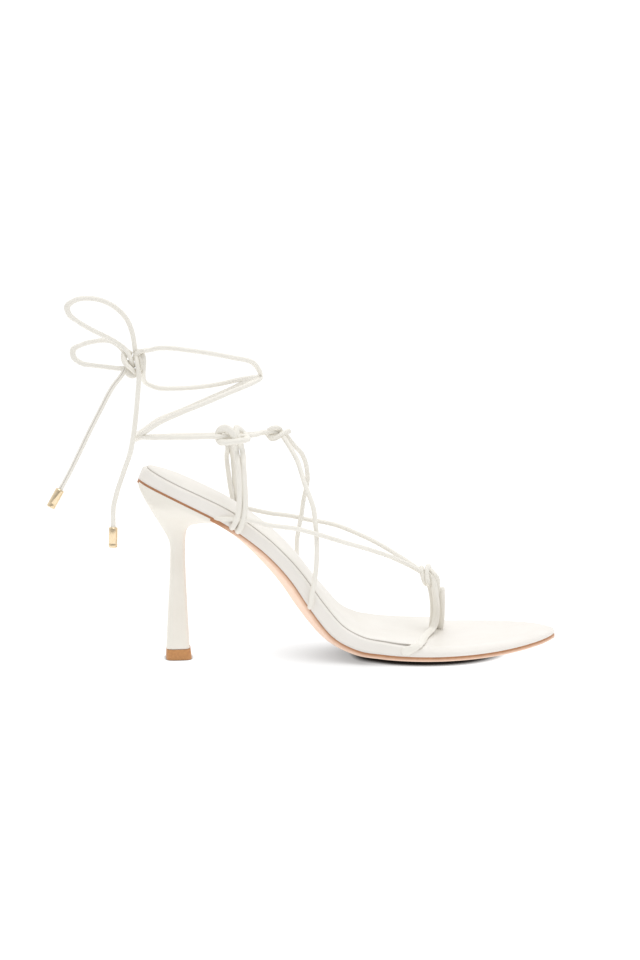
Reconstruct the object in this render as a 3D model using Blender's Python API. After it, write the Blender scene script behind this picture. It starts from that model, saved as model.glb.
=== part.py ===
"""Strappy stiletto sandal for the right foot: a sole on the last's own bottom line, a flared heel,
an upper of rolled leather cords joined where they cross, and an ankle tie with a bow behind.
Sizes are in millimetres. +X points to the toe, +Y to the inner side of the foot and +Z up.
The origin is on the floor, under the middle of the heel tip."""

import math
from collections import namedtuple

import bmesh
import bpy
from mathutils import Matrix, Vector

MM = 0.001
GAP = 0.3  # clearance between neighbouring pieces
TINY = 0.0001  # metres, for welding the caps of a tube

# Driving sizes of the sole
LENGTH = 221.0  # heel back to toe tip, along the floor
HEEL_TIP_X = 19.2  # middle of the heel tip, from the heel back
HEEL_ROUND = 26.0  # length of the rounded heel end
TOE_ROUND = 60.0  # length of the almond toe
LATERAL_TOE_POWER = 0.66
MEDIAL_TOE_POWER = 0.58
OUTSOLE_EDGE = 2.0
TREAD_SHARE = 0.34  # share of the half width that stays flat under the ball
RIM_SHARES = (0.0, 0.3, 1.0)  # points of the footbed's rounded upper edge, as shares of its reach
RIM_DEPTH = 0.75  # most of the footbed's thickness that the rounding may take
RIM_REACH = 0.24  # most of the half width that it may take
TOP_SHARE = 0.95  # the flat of the footbed's top, inside the rim
LATERAL, MEDIAL = -1, 1  # outer and inner side of the foot
INSOLE_INSET = 2.0
INSOLE_EDGE = 0.5  # thickness of the padded insole at its edge
INSOLE_GAP = 0.4  # clearance under it, a little more than elsewhere because both faces curve two ways
PAD_POWER = 4  # the higher, the flatter the insole's padding and the rounder its edge
INSOLE_TIP = (159.0, 20.0)  # front corner of the insole, just behind the toe post
INSOLE_SHOULDER_X = {LATERAL: 137.3, MEDIAL: 157.6}  # where each side starts to run to that corner

# One row for each station of the sole, from the heel back: x, height of the footbed's underside,
# half widths of the outline, footbed thickness, lift of both edges, further lift of the inner edge
# at the arch, crown of the outsole below and of the insole's padding above, and how far the rounding
# of the footbed's upper edge reaches inward
Station = namedtuple("Station", "x z lateral medial thick lift arch crown pad rim")
SOLE = [
    Station(0, 96.0, 24.5, 24.5, 6.9, 0.0, 0.0, 0.0, 1.5, 1.8),
    Station(15, 89.4, 24.6, 24.5, 6.3, 0.0, 0.0, 0.0, 2.1, 1.8),
    Station(30, 81.9, 24.8, 24.4, 6.6, 0.0, 0.3, 0.0, 2.1, 1.8),
    Station(42, 75.3, 24.4, 23.8, 6.8, 0.0, 0.8, 0.2, 2.1, 1.8),
    Station(55, 66.2, 23.3, 22.2, 6.6, 0.0, 1.3, 2.0, 2.5, 1.8),
    Station(67, 55.8, 22.1, 20.2, 6.4, 0.0, 1.7, 3.3, 3.0, 1.8),
    Station(78, 43.1, 21.8, 18.6, 6.6, 0.0, 2.9, 3.6, 3.0, 1.8),
    Station(88, 27.8, 22.6, 18.4, 7.2, 0.0, 4.9, 3.4, 2.5, 1.8),
    Station(98, 14.6, 25.0, 20.0, 7.6, 0.3, 5.5, 2.7, 2.0, 1.8),
    Station(110, 6.4, 29.4, 24.4, 7.4, 1.7, 4.6, 1.3, 1.5, 1.9),
    Station(124, 3.4, 34.6, 30.4, 6.9, 2.8, 2.2, 0.3, 0.9, 2.4),
    Station(138, 2.3, 38.2, 35.2, 6.2, 3.2, 1.4, 0.0, 1.3, 3.4),
    Station(152, 2.25, 39.3, 38.0, 5.4, 3.0, 1.2, 0.0, 1.7, 4.8),
    Station(166, 2.65, 39.3, 38.6, 5.0, 3.0, 0.0, 0.0, 1.4, 5.4),
    Station(182, 3.85, 39.0, 38.4, 4.4, 2.6, 0.0, 0.0, 1.4, 5.4),
    Station(204, 6.5, 38.6, 38.2, 3.7, 1.5, 0.0, 0.0, 1.4, 5.0),
    Station(221, 8.6, 38.4, 38.0, 3.6, 0.6, 0.0, 0.0, 1.4, 4.6),
]
STATION_COUNT = 44
STATION_CROWDING = 0.75  # how far stations gather at both ends
ACROSS = (-1.0, -0.78, -0.56, -TREAD_SHARE, 0.0, TREAD_SHARE, 0.56, 0.78, 1.0)

# One row for each section of the heel: its back, its front and half its width
HeelRow = namedtuple("HeelRow", "back_x back_z front_x front_z half")
HEEL_SEAT = (1.8, 41.0, 24.4)  # back, front and half width of the heel's top, under the sole
HEEL = [
    HeelRow(3.0, 85.6, 35.5, 73.2, 20.5),
    HeelRow(5.7, 80.5, 31.0, 72.6, 17.0),
    HeelRow(9.0, 74.9, 27.4, 71.7, 13.4),
    HeelRow(12.3, 69.2, 25.1, 69.4, 10.2),
    HeelRow(14.8, 64.2, 24.2, 65.6, 7.9),
    HeelRow(15.9, 59.4, 23.9, 60.6, 6.6),
    HeelRow(15.9, 54.5, 23.8, 54.5, 6.0),
    HeelRow(15.4, 42.0, 24.1, 42.0, 6.0),
    HeelRow(14.3, 25.0, 24.7, 25.0, 6.5),
    HeelRow(13.2, 5.8, 25.5, 5.8, 7.2),
]
HEEL_TIP = [
    HeelRow(13.0, 5.5, 25.6, 5.5, 7.4),
    HeelRow(12.6, 0.0, 26.1, 0.0, 7.7),
]
HEEL_SIDES = 18
FRONT_POWER = 0.55  # under 1 the front of a section is squarer than an ellipse
BACK_POWER = 0.7
SIDE_POWER = 0.65

# One row for each section of the last above the footbed: middle, half width, widest height and ridge
LastRow = namedtuple("LastRow", "x middle half wide ridge")
LAST = [
    LastRow(36, 0.0, 27.5, 93, 195),
    LastRow(55, 0.0, 28.0, 88, 160),
    LastRow(66, 0.0, 28.5, 80, 126),
    LastRow(75, 0.0, 29.0, 72, 117.5),
    LastRow(85, 0.0, 29.5, 62, 108),
    LastRow(95, 0.0, 30.0, 52, 98),
    LastRow(108, 1.0, 31.5, 40, 81),
    LastRow(122, 3.0, 34.0, 30, 67),
    LastRow(136, 6.0, 35.0, 24, 52.5),
    LastRow(152, 9.0, 35.0, 18, 41),
]
LAST_POWER = 1.7

# One row for each ring round the leg: height, front, back and half width
LegRow = namedtuple("LegRow", "z front back half")
LEG = [
    LegRow(114, 74.0, -1.0, 25.6),
    LegRow(132, 68.5, -1.0, 25.2),
    LegRow(150, 64.0, -1.0, 25.0),
    LegRow(166, 62.0, -1.0, 25.0),
]

# Cords of the upper: side of the foot, how far they lie above the last, and their route as (x, z)
CORD = 2.5  # diameter of the rolled leather
CORD_STEP = 7.0  # spacing of the tube's rings
EASE_PASSES = 10  # how often the cords' sideways run is evened out, because a taut cord bridges hollows
Strap = namedtuple("Strap", "side over route")
STRAPS = {
    "lateral_long": Strap(
        LATERAL, 0.8,
        [(38.5, 77), (43.5, 77), (49.5, 77), (56.5, 76.5), (66.5, 74), (78.5, 72.5), (91, 69), (103.5, 64.5),
         (117, 59.5), (130.5, 53.5), (141, 47.5)],
    ),
    "medial_long": Strap(
        MEDIAL, 0.8,
        [(45, 77), (53, 75.8), (60.5, 74), (70.5, 71.5), (83.5, 69.5), (91.5, 67.5), (98, 66.5),
         (106.5, 64.5), (115.5, 61), (125.5, 56.5), (134.5, 51.5), (141, 47.5)],
    ),
    "lateral_cross": Strap(
        LATERAL, 0.0,
        [(79.5, 110), (82.5, 104), (84, 98.5), (85.5, 93), (87.5, 87.5), (89, 83), (90, 75), (90.5, 66),
         (90.5, 57.5), (90, 49), (88.5, 40.5), (86.0, 30.8)],
    ),
    "medial_cross": Strap(
        MEDIAL, 0.0,
        [(82, 111), (85.5, 107), (88, 102), (89.5, 96), (90, 91.5), (89.5, 86), (88.5, 81), (88, 75.5),
         (86.5, 66.5), (85, 59), (84.5, 52), (84, 45), (83.5, 38.5)],
    ),
    "lateral_stay_back": Strap(
        LATERAL, 0.0, [(47.5, 71.5), (50, 75.5), (51, 82), (51.5, 88.5), (51.5, 95.5), (51, 104), (50.5, 112)]
    ),
    "lateral_stay_front": Strap(
        LATERAL, 0.0, [(51.5, 70), (53, 75), (54, 82), (54, 91), (53.5, 97.5), (53.5, 105), (53, 112.5)]
    ),
    "medial_stay_back": Strap(
        MEDIAL, 0.0, [(49.5, 72.5), (50.5, 77.5), (50, 81), (49, 88), (48, 97), (48, 103), (48.5, 108.5)]
    ),
    "medial_stay_front": Strap(
        MEDIAL, 0.0, [(52.5, 70.5), (53, 78.5), (52.5, 83.5), (51.5, 90), (51, 97), (50.5, 103), (50, 108.5)]
    ),
}
TOE_KNOT = (153.0, 9.0, 39.5)
FRONT_KNOT = (74.0, 0.0, 118.2)
TOE_POST_FOOT = (160.2, 16.0)
# Toe straps: drop from the knot as (x, y, z), run along the footbed as (x, y, height above it),
# then x where they pass its edge and where they go under it
ToeStrap = namedtuple("ToeStrap", "drop lying edge_x end_x")
TOE_STRAPS = {
    LATERAL: ToeStrap(
        [(153.6, 8.2, 38.4), (156.2, 8.4, 31.0), (158.4, 9.0, 21.5)],
        [(156.6, 9.5, 3.6), (153.4, 2.5, 1.0), (148.9, -9.0, 0.2), (143.0, -25.0, 0.2), (139.6, -33.5, 0.2)],
        137.0, 134.8,
    ),
    MEDIAL: ToeStrap(
        [(153.2, 10.4, 38.6), (155.8, 12.2, 31.5), (157.6, 14.6, 21.5)],
        [(160.4, 18.6, 4.4), (161.9, 22.0, 1.4), (162.9, 26.5, 0.3), (163.6, 31.0, 0.3)],
        164.2, 164.8,
    ),
}
CORNER = 0.71  # a toe strap passes the footbed's edge at 45 degrees
TUCK_SHARES = (0.55, 0.1)  # heights on the footbed's side where it ends
TOE_POST = [(156.0, 9.3, 37.6), (160.6, 11.6, 31.5), (161.2, 15.0, 20.0)]
LONG_STRAP_END = (-1.6, 1.0)  # where the long straps enter the toe knot, from its middle
CROSS_STRAP_START = {LATERAL: (0.4, -0.7, 0.3), MEDIAL: (2.2, 0.6, 0.2)}  # from the front knot's middle
CORD_SPREAD = 1.2  # half the distance between two cords that enter a knot together

# Turned knots: each is a cord wound round its own axis
TURN_RADIUS = 2.2
TURN_PITCH = 2.75
KNOT_TURNS = 3
TURN_POINTS = 9  # points for each turn
KNOT_CORE = 3.4  # diameter of the cords inside a knot
FRONT_KNOT_AXIS = (1.0, 0.0, -0.08)
TOE_KNOT_AXIS = (0.85, 0.06, -0.52)
STAY_RING = CORD + GAP + 0.05  # radius of the loop in which each pair of stays carries the tie
STAY_RING_SIDES = 16
CORD_SIDES = 8

# Ankle tie: where it leaves the front knot, then stretches on one side of the leg as (x, z)
TieStretch = namedtuple("TieStretch", "side route")
STAY_EYE = {LATERAL: (52.2, 119.2), MEDIAL: (47.5, 114.8)}
TIE_START = {
    LATERAL: [(66.6, -2.0, 118.8), (60.5, -14.0, 119.0)],
    MEDIAL: [(66.6, 2.0, 118.0), (60.0, 14.5, 116.2)],
}
TIE = {
    LATERAL: [
        TieStretch(LATERAL, [STAY_EYE[LATERAL], (39, 119.6), (25, 119.3), (11, 118.8), (3, 118.2)]),
        TieStretch(
            MEDIAL,
            [(-1, 117.8), (3.5, 119.6), (11, 124), (24, 128.6), (37, 134), (50, 139.8), (58.6, 144.8)],
        ),
        TieStretch(
            LATERAL, [(64, 149.4), (60, 155.6), (47.5, 159.6), (29, 163.2), (11, 164.4), (6.4, 163.2)]
        ),
    ],
    MEDIAL: [
        TieStretch(MEDIAL, [STAY_EYE[MEDIAL], (39, 114.9), (25, 115), (11, 115.4), (3, 115.8)]),
        TieStretch(
            LATERAL,
            [(-1, 116), (3.8, 121), (10.4, 126), (22.5, 132), (35, 137), (47.2, 141.8), (58.3, 145.4)],
        ),
        TieStretch(
            MEDIAL,
            [(64, 147.2), (57, 145.6), (40.5, 141.6), (30, 140.4), (20, 140.2), (11, 141), (5.4, 143.6)],
        ),
    ],
}
TIE_END = {LATERAL: (4.3, -2.0, 160.2), MEDIAL: (2.4, 2.2, 148.9)}

# Bow behind the ankle: routes as (x, y, z)
BOW_KNOT = (-0.8, 0.0, 156.3)
BOW_KNOT_AXIS = (0.12, 0.0, 1.0)
BOW_TURN_RADIUS = 3.0
BOW_CORE = 4.4  # diameter of the cords inside the bow's knot
BOW_STEP = 5.0  # the bow bends tighter than the straps
BOW = {
    "bow_loop_upper": [
        (-0.3, 0.0, 160.8), (-0.8, -1.2, 165.5), (-1.8, -3.0, 171.5), (-4.5, -5.0, 178.5),
        (-9.5, -7.0, 184.2), (-16.5, -9.0, 188.2), (-23.5, -10.5, 189.6), (-30.6, -11.5, 188.6),
        (-34.4, -11.5, 185.6), (-33.8, -10.5, 182.0), (-29.0, -9.0, 177.6), (-22.0, -6.5, 173.2),
        (-14.0, -4.0, 169.0), (-9.0, -1.6, 165.8), (-6.0, 0.0, 163.2),
    ],
    "bow_loop_lower": [
        (-6.4, 3.0, 161.6), (-9.5, 4.0, 165.0), (-14.5, 5.0, 167.2), (-20.5, 6.0, 166.8),
        (-27.6, 8.0, 165.0), (-32.6, 9.0, 162.0), (-32.4, 9.0, 158.6), (-28.6, 8.0, 155.4),
        (-22.0, 6.0, 154.2), (-14.7, 4.0, 153.4), (-9.0, 2.4, 152.8), (-5.6, 1.4, 152.6),
    ],
    "tie_end_long": [
        (-5.7, -0.6, 150.6), (-12.4, -1.0, 143.4), (-18.3, -2.0, 132.8), (-24.3, -3.0, 121.5),
        (-30.2, -4.0, 109.7), (-36.0, -5.0, 98.4), (-40.0, -5.4, 91.4),
    ],
    "tie_end_short": [
        (-1.3, 0.0, 151.4), (-0.8, -1.2, 147.4), (0.6, -5.0, 140.8), (-0.4, -7.5, 131.4), (-1.8, -9.2, 121.0),
        (-3.8, -10.0, 110.6), (-7.5, -10.5, 100.3), (-11.0, -10.5, 90.0), (-13.0, -10.5, 82.0),
        (-13.3, -10.5, 72.0),
    ],
}
CORD_TIPS = {"cord_tip_long": "tie_end_long", "cord_tip_short": "tie_end_short"}
CORD_TIP_SIZE = (4.6, 10.6)  # diameter and length
CORD_TIP_BEVEL = 0.5
CORD_TIP_SIDES = 14

# Colour, roughness and metallic value of each material
Finish = namedtuple("Finish", "colour roughness metallic")
FINISHES = {
    "leather": Finish((0.84, 0.81, 0.75), 0.5, 0.0),
    "insole_leather": Finish((0.86, 0.83, 0.78), 0.6, 0.0),
    "sole_leather": Finish((0.56, 0.33, 0.19), 0.6, 0.0),
    "tip": Finish((0.42, 0.22, 0.10), 0.5, 0.0),
    "gold": Finish((0.83, 0.6, 0.27), 0.25, 1.0),
}


def cubic(places, values, place):
    """Smooth curve through the values, with each slope taken from the two neighbours."""
    last = len(places) - 2
    index = min(max(sum(p <= place for p in places) - 1, 0), last)
    steps = [b - a for a, b in zip(places, places[1:])]
    slopes = [(b - a) / s for a, b, s in zip(values, values[1:], steps)]

    def slope_at(i):
        if i == 0:
            return slopes[0]
        if i == len(slopes):
            return slopes[-1]
        return (slopes[i - 1] * steps[i] + slopes[i] * steps[i - 1]) / (steps[i - 1] + steps[i])

    step = steps[index]
    t = (place - places[index]) / step
    near, far = 1 - t, t
    return (
        (1 + 2 * t) * near**2 * values[index]
        + t * near**2 * step * slope_at(index)
        + far**2 * (3 - 2 * t) * values[index + 1]
        - far**2 * near * step * slope_at(index + 1)
    )


def column(rows, name, place, key="x"):
    places = [getattr(row, key) for row in rows]
    values = [getattr(row, name) for row in rows]
    return cubic(places, values, min(max(place, places[0]), places[-1]))


def flow(points, step):
    """Evenly spaced points on one smooth curve through the given points."""
    points = [Vector(p) for p in points]
    places = [0.0]
    for a, b in zip(points, points[1:]):
        places.append(places[-1] + (b - a).length)
    count = max(3, round(places[-1] / step))
    made = []
    for k in range(count + 1):
        place = places[-1] * k / count
        made.append(Vector([cubic(places, [p[axis] for p in points], place) for axis in range(3)]))
    return made


def eased(points):
    """The points with their sideways run evened out between the two ends."""
    for _ in range(EASE_PASSES):
        sideways = [p.y for p in points]
        for k in range(1, len(points) - 1):
            points[k].y = (sideways[k - 1] + 2 * sideways[k] + sideways[k + 1]) / 4
    return points


def half_width(x, side, inset=0.0):
    """Half width of the sole's outline at x, drawn in evenly by inset."""
    width = column(SOLE, "medial" if side > 0 else "lateral", x) - inset
    heel = max(0.0, (HEEL_ROUND - x) / (HEEL_ROUND - inset))
    toe = max(0.0, (x - LENGTH + TOE_ROUND) / (TOE_ROUND - inset))
    power = MEDIAL_TOE_POWER if side > 0 else LATERAL_TOE_POWER
    return width * math.sqrt(max(0.0, 1 - heel**2)) * max(0.0, 1 - toe**2) ** power


def sole_normal(x):
    reach = 0.1
    low, high = max(0.0, x - reach), min(LENGTH, x + reach)
    slope = (column(SOLE, "z", high) - column(SOLE, "z", low)) / (high - low)
    return Vector((-slope, 0, 1)).normalized()


def sole_point(x, y, height):
    """Point at a height above the footbed's underside, square to the sole's own line."""
    share = abs(y) / max(half_width(x, y), 1.0)
    lift = column(SOLE, "lift", x) + (column(SOLE, "arch", x) if y > 0 else 0.0)
    rise = lift * (max(0.0, share - TREAD_SHARE) / (1 - TREAD_SHARE)) ** 2
    return Vector((x, y, column(SOLE, "z", x))) + sole_normal(x) * (height + rise)


def station_under(x):
    """Station of the sole whose footbed top lies at x."""
    station = x
    for _ in range(8):
        station += x - sole_point(station, 0, column(SOLE, "thick", station)).x
    return station


def stations(start, end):
    """The sole's own stations between two ends, so that neighbouring pieces bend at the same places."""
    made = [start]
    for k in range(STATION_COUNT):
        u = k / (STATION_COUNT - 1)
        x = LENGTH * (u - STATION_CROWDING * math.sin(2 * math.pi * u) / (2 * math.pi))
        if start + 2 * GAP < x < end - 2 * GAP:
            made.append(x)
    return made + [end]


def on_last(x, z, side, over):
    """Middle of a cord that lies on the last, or on the footbed's edge below it."""
    station = station_under(x)
    base = sole_point(station, 0, column(SOLE, "thick", station)).z
    edge = max(half_width(station, side), half_width(x, side))
    half, wide, ridge = (column(LAST, name, x) for name in ("half", "wide", "ridge"))
    if z >= wide:
        share = min(1.0, (z - wide) / (ridge - wide))
        reach = half * (1 - share**LAST_POWER) ** (1 / LAST_POWER)
    else:
        share = min(1.0, (wide - z) / max(wide - base, 1.0))
        reach = edge + (half - edge) * (1 - share**2)
    return Vector((x, column(LAST, "middle", x) * (z > base) + side * (reach + CORD / 2 + GAP + over), z))


def on_leg(x, z, side):
    """Middle of the tie at x on the oval that it makes round the leg."""
    front, back, half = (column(LEG, name, z, key="z") for name in ("front", "back", "half"))
    share = (2 * x - front - back) / (front - back)
    return Vector((x, side * half * math.sqrt(max(0.0, 1 - share**2)), z))


def in_frame(point):
    """From millimetres measured from the heel back to metres in the part's own frame."""
    return Vector((point[0] - HEEL_TIP_X, point[1], point[2])) * MM


def make_material(name):
    finish = FINISHES[name]
    material = bpy.data.materials.get(name) or bpy.data.materials.new(name)
    material.use_nodes = True
    shader = material.node_tree.nodes["Principled BSDF"]
    shader.inputs["Base Color"].default_value = (*finish.colour, 1)
    shader.inputs["Roughness"].default_value = finish.roughness
    shader.inputs["Metallic"].default_value = finish.metallic
    return material


def add_object(name, data, collection):
    made = bpy.data.objects.new(name, data)
    collection.objects.link(made)
    return made


def finish_part(part, name, material, sharp_degrees=35):
    part.name = name
    part.data.name = name
    part.data.materials.clear()
    part.data.materials.append(make_material(material))
    part.data.shade_smooth()
    part.data.set_sharp_from_angle(angle=math.radians(sharp_degrees))


def loft(name, rings, collection, strip_top=False):
    """Closed solid through rings of equally many points. A strip cap follows a curved first ring."""
    mesh = bmesh.new()
    rows = [[mesh.verts.new(in_frame(p)) for p in ring] for ring in rings]
    count = len(rows[0])
    for low, high in zip(rows, rows[1:]):
        for k in range(count):
            mesh.faces.new((low[k], low[(k + 1) % count], high[(k + 1) % count], high[k]))
    mesh.faces.new(rows[-1])
    if strip_top:
        top = rows[0]
        for k in range(count // 2):
            corners = [top[k], top[k + 1], top[-k - 1], top[-k]] if k else [top[0], top[1], top[-1]]
            mesh.faces.new(corners if k < count // 2 - 1 else corners[:2] + corners[-1:])
    else:
        mesh.faces.new(rows[0])
    bmesh.ops.recalc_face_normals(mesh, faces=mesh.faces)
    data = bpy.data.meshes.new(name)
    mesh.to_mesh(data)
    mesh.free()
    return add_object(name, data, collection)


def tube(name, points, diameter, collection):
    """Round cord with flat ends along the points, as a mesh."""
    data = bpy.data.curves.new(name, "CURVE")
    data.dimensions = "3D"
    data.bevel_depth = diameter / 2 * MM
    data.bevel_resolution = 2
    data.use_fill_caps = True
    spline = data.splines.new("POLY")
    spline.points.add(len(points) - 1)
    for target, point in zip(spline.points, points):
        target.co = (*in_frame(point), 1)
    guide = add_object(name + "_route", data, collection)
    bpy.context.view_layer.update()
    graph = bpy.context.evaluated_depsgraph_get()
    made = bpy.data.meshes.new_from_object(guide.evaluated_get(graph))
    bpy.data.objects.remove(guide)
    mesh = bmesh.new()
    mesh.from_mesh(made)
    bmesh.ops.remove_doubles(mesh, verts=mesh.verts, dist=TINY)
    bmesh.ops.recalc_face_normals(mesh, faces=mesh.faces)
    mesh.to_mesh(made)
    mesh.free()
    return add_object(name, made, collection)


def turned_knot(name, middle, axis, radius, core, collection):
    """Cord wound a few turns round the cords inside it."""
    axis = Vector(axis).normalized()
    side = axis.orthogonal().normalized()
    third = axis.cross(side)
    middle = Vector(middle)
    points = []
    for k in range(KNOT_TURNS * TURN_POINTS + 1):
        turn = k / TURN_POINTS
        angle = 2 * math.pi * turn
        along = (turn - KNOT_TURNS / 2) * TURN_PITCH
        points.append(middle + axis * along + (side * math.cos(angle) + third * math.sin(angle)) * radius)
    half = axis * TURN_PITCH * KNOT_TURNS / 2
    inside = [middle - half, middle, middle + half]
    return joined([tube(name, points, CORD, collection), tube(name + "_core", inside, core, collection)])


def ring_round(name, middle, axis, collection):
    """Loop of cord round an axis."""
    bpy.ops.mesh.primitive_torus_add(
        major_segments=STAY_RING_SIDES,
        minor_segments=CORD_SIDES,
        major_radius=STAY_RING * MM,
        minor_radius=CORD / 2 * MM,
    )
    made = bpy.context.object
    turn = Vector(axis).to_track_quat("Z", "Y").to_matrix().to_4x4()
    made.data.transform(Matrix.Translation(in_frame(middle)) @ turn)
    made.name = name
    for owner in list(made.users_collection):
        owner.objects.unlink(made)
    collection.objects.link(made)
    return made


def joined(pieces):
    """One solid from overlapping pieces."""
    base = pieces[0]
    for piece in pieces[1:]:
        union = base.modifiers.new("join " + piece.name, "BOOLEAN")
        union.operation = "UNION"
        union.solver = "MANIFOLD"  # cords that nearly touch along a knot defeat the exact solver
        union.object = piece
    bpy.context.view_layer.update()
    graph = bpy.context.evaluated_depsgraph_get()
    data = bpy.data.meshes.new_from_object(base.evaluated_get(graph))
    base.modifiers.clear()
    base.data = data
    for piece in pieces[1:]:
        bpy.data.objects.remove(piece)
    return base


def across(x, share, inset=0.0):
    """Sideways place at a share of the outline's half width, with the inner side positive."""
    return share * half_width(x, share, inset)


def rim_size(x):
    """How far the rounding of the footbed's upper edge reaches inward and down."""
    reach = column(SOLE, "rim", x)
    return reach, min(reach, RIM_DEPTH * column(SOLE, "thick", x))


def outline_slant(x, side):
    """Length of the outline for each millimetre along the sole, so that the rounding is even all round."""
    step = GAP / 3
    return math.hypot(1.0, (half_width(x + step, side) - half_width(x - step, side)) / (2 * step))


def top_point(x, y, side):
    """Point of the footbed's top, which rounds off towards its outline."""
    reach, depth = rim_size(x)
    from_edge = (half_width(x, side) - abs(y)) / outline_slant(x, side)
    share = 1 - min(max(from_edge / reach, 0.0), 1.0)
    return sole_point(x, y, column(SOLE, "thick", x) - depth * (1 - math.sqrt(1 - share**2)))


def rim_points(x, side):
    edge = half_width(x, side)
    reach = min(rim_size(x)[0] * outline_slant(x, side), RIM_REACH * edge)
    return [top_point(x, side * (edge - share * reach), side) for share in RIM_SHARES]


def make_footbed(parts):
    rings = []
    for x in stations(GAP, LENGTH - GAP):
        ring = [sole_point(x, across(x, share), 0) for share in ACROSS]
        ring += rim_points(x, MEDIAL)
        ring += [top_point(x, TOP_SHARE * across(x, share), share) for share in reversed(ACROSS[1:-1])]
        ring += reversed(rim_points(x, LATERAL))
        rings.append(ring)
    finish_part(loft("footbed", rings, parts), "footbed", "leather")


def make_outsole(parts):
    rings = []
    for x in stations(2 * GAP, LENGTH - 2 * GAP):
        crown = max(0.0, column(SOLE, "crown", x))
        top, under = [], []
        for share in ACROSS:
            y = across(x, share, GAP)
            top.append(sole_point(x, y, -GAP))
            low = sole_point(x, y, -GAP - OUTSOLE_EDGE - crown * (1 - share**2))
            low.z = max(0.0, low.z)
            under.append(low)
        rings.append(top + under[::-1])
    finish_part(loft("outsole", rings, parts), "outsole", "sole_leather")


def insole_half_width(x, side):
    """The insole follows the outline, then runs to a point behind the toe post."""
    tip_x, tip_y = INSOLE_TIP
    shoulder_x = INSOLE_SHOULDER_X[side]
    half = half_width(x, side, INSOLE_INSET)
    if x <= shoulder_x:
        return half
    shoulder = half_width(shoulder_x, side, INSOLE_INSET)
    share = (x - shoulder_x) / (tip_x - shoulder_x)
    return min(half, shoulder + (side * tip_y - shoulder) * share)


def make_insole(parts):
    rings = []
    start, end = INSOLE_INSET + GAP, INSOLE_TIP[0] - 3 * GAP
    for x in stations(start, end):
        base = column(SOLE, "thick", x) + INSOLE_GAP
        lateral, medial = -insole_half_width(x, LATERAL), insole_half_width(x, MEDIAL)
        low, high = [], []
        for share in ACROSS:
            y = lateral + (medial - lateral) * (share + 1) / 2
            pad = column(SOLE, "pad", x) * (1 - abs(share) ** PAD_POWER)
            low.append(sole_point(x, y, base))
            high.append(sole_point(x, y, base + INSOLE_EDGE + pad))
        rings.append(low + high[::-1])
    finish_part(loft("insole", rings, parts), "insole", "insole_leather")


def section_shape():
    """Rounded section of the heel, as shares along and across, the front first."""
    shape = []
    for k in range(HEEL_SIDES):
        angle = 2 * math.pi * k / HEEL_SIDES
        along, across = math.cos(angle), math.sin(angle)
        power = FRONT_POWER if along > 0 else BACK_POWER
        along = math.copysign(abs(along) ** power, along)
        across = math.copysign(abs(across) ** SIDE_POWER, across)
        shape.append((along, across))
    shape[HEEL_SIDES // 2] = (-1.0, 0.0)
    return shape


def heel_ring(row):
    back = Vector((row.back_x, 0, row.back_z))
    front = Vector((row.front_x, 0, row.front_z))
    middle, reach = (back + front) / 2, (front - back) / 2
    return [middle + reach * along + Vector((0, row.half * across, 0)) for along, across in section_shape()]


def make_heel(parts):
    back, front, half = HEEL_SEAT
    depth = -(GAP + OUTSOLE_EDGE + GAP)
    seat = []
    for along, across in section_shape():
        x = (back + front) / 2 + (front - back) / 2 * along
        limit = half_width(x, across, 2 * GAP)
        seat.append(sole_point(x, math.copysign(min(abs(half * across), limit), across), depth))
    rings = [seat] + [heel_ring(row) for row in HEEL]
    finish_part(loft("heel", rings, parts, strip_top=True), "heel", "leather")
    tip = loft("heel_tip", [heel_ring(row) for row in HEEL_TIP], parts)
    finish_part(tip, "heel_tip", "tip")


def on_footbed(x, y, height):
    station = station_under(x)
    return sole_point(station, y, column(SOLE, "thick", station) + height)


def strap_tube(name, strap, parts):
    """Cord on the last, led into the knot or loop that holds its upper end."""
    route = [on_last(x, z, strap.side, strap.over) for x, z in strap.route]
    if "long" in name:
        ahead, up = LONG_STRAP_END
        route.append(Vector(TOE_KNOT) + Vector((ahead, strap.side * CORD_SPREAD, up)))
    if "cross" in name:
        route.insert(0, Vector(FRONT_KNOT) + Vector(CROSS_STRAP_START[strap.side]))
    if "stay" in name:
        eye = on_leg(*STAY_EYE[strap.side], strap.side)
        spread = math.copysign(CORD_SPREAD, strap.route[-1][0] - eye.x)
        route.append(eye + Vector((spread, CORD_SPREAD / 2 * strap.side, GAP - STAY_RING)))
    return tube(name, eased(flow(route, CORD_STEP)), CORD, parts)


def toe_strap(side, parts):
    """From the toe knot down to the footbed, across it and over its edge."""
    strap = TOE_STRAPS[side]
    lying = GAP + CORD / 2
    route = [Vector(p) for p in strap.drop]
    route += [on_footbed(x, y, lying + above) for x, y, above in strap.lying]
    reach, depth = rim_size(strap.edge_x)
    out = half_width(strap.edge_x, side) + CORNER * lying - (1 - CORNER) * reach
    up = column(SOLE, "thick", strap.edge_x) + CORNER * lying - (1 - CORNER) * depth
    route.append(sole_point(strap.edge_x, side * out, up))
    beside = side * (half_width(strap.end_x, side) + lying + GAP)
    for share in TUCK_SHARES:
        route.append(sole_point(strap.end_x, beside, share * column(SOLE, "thick", strap.end_x)))
    return tube("toe_strap", flow(route, CORD_STEP / 2), CORD, parts)


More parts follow.
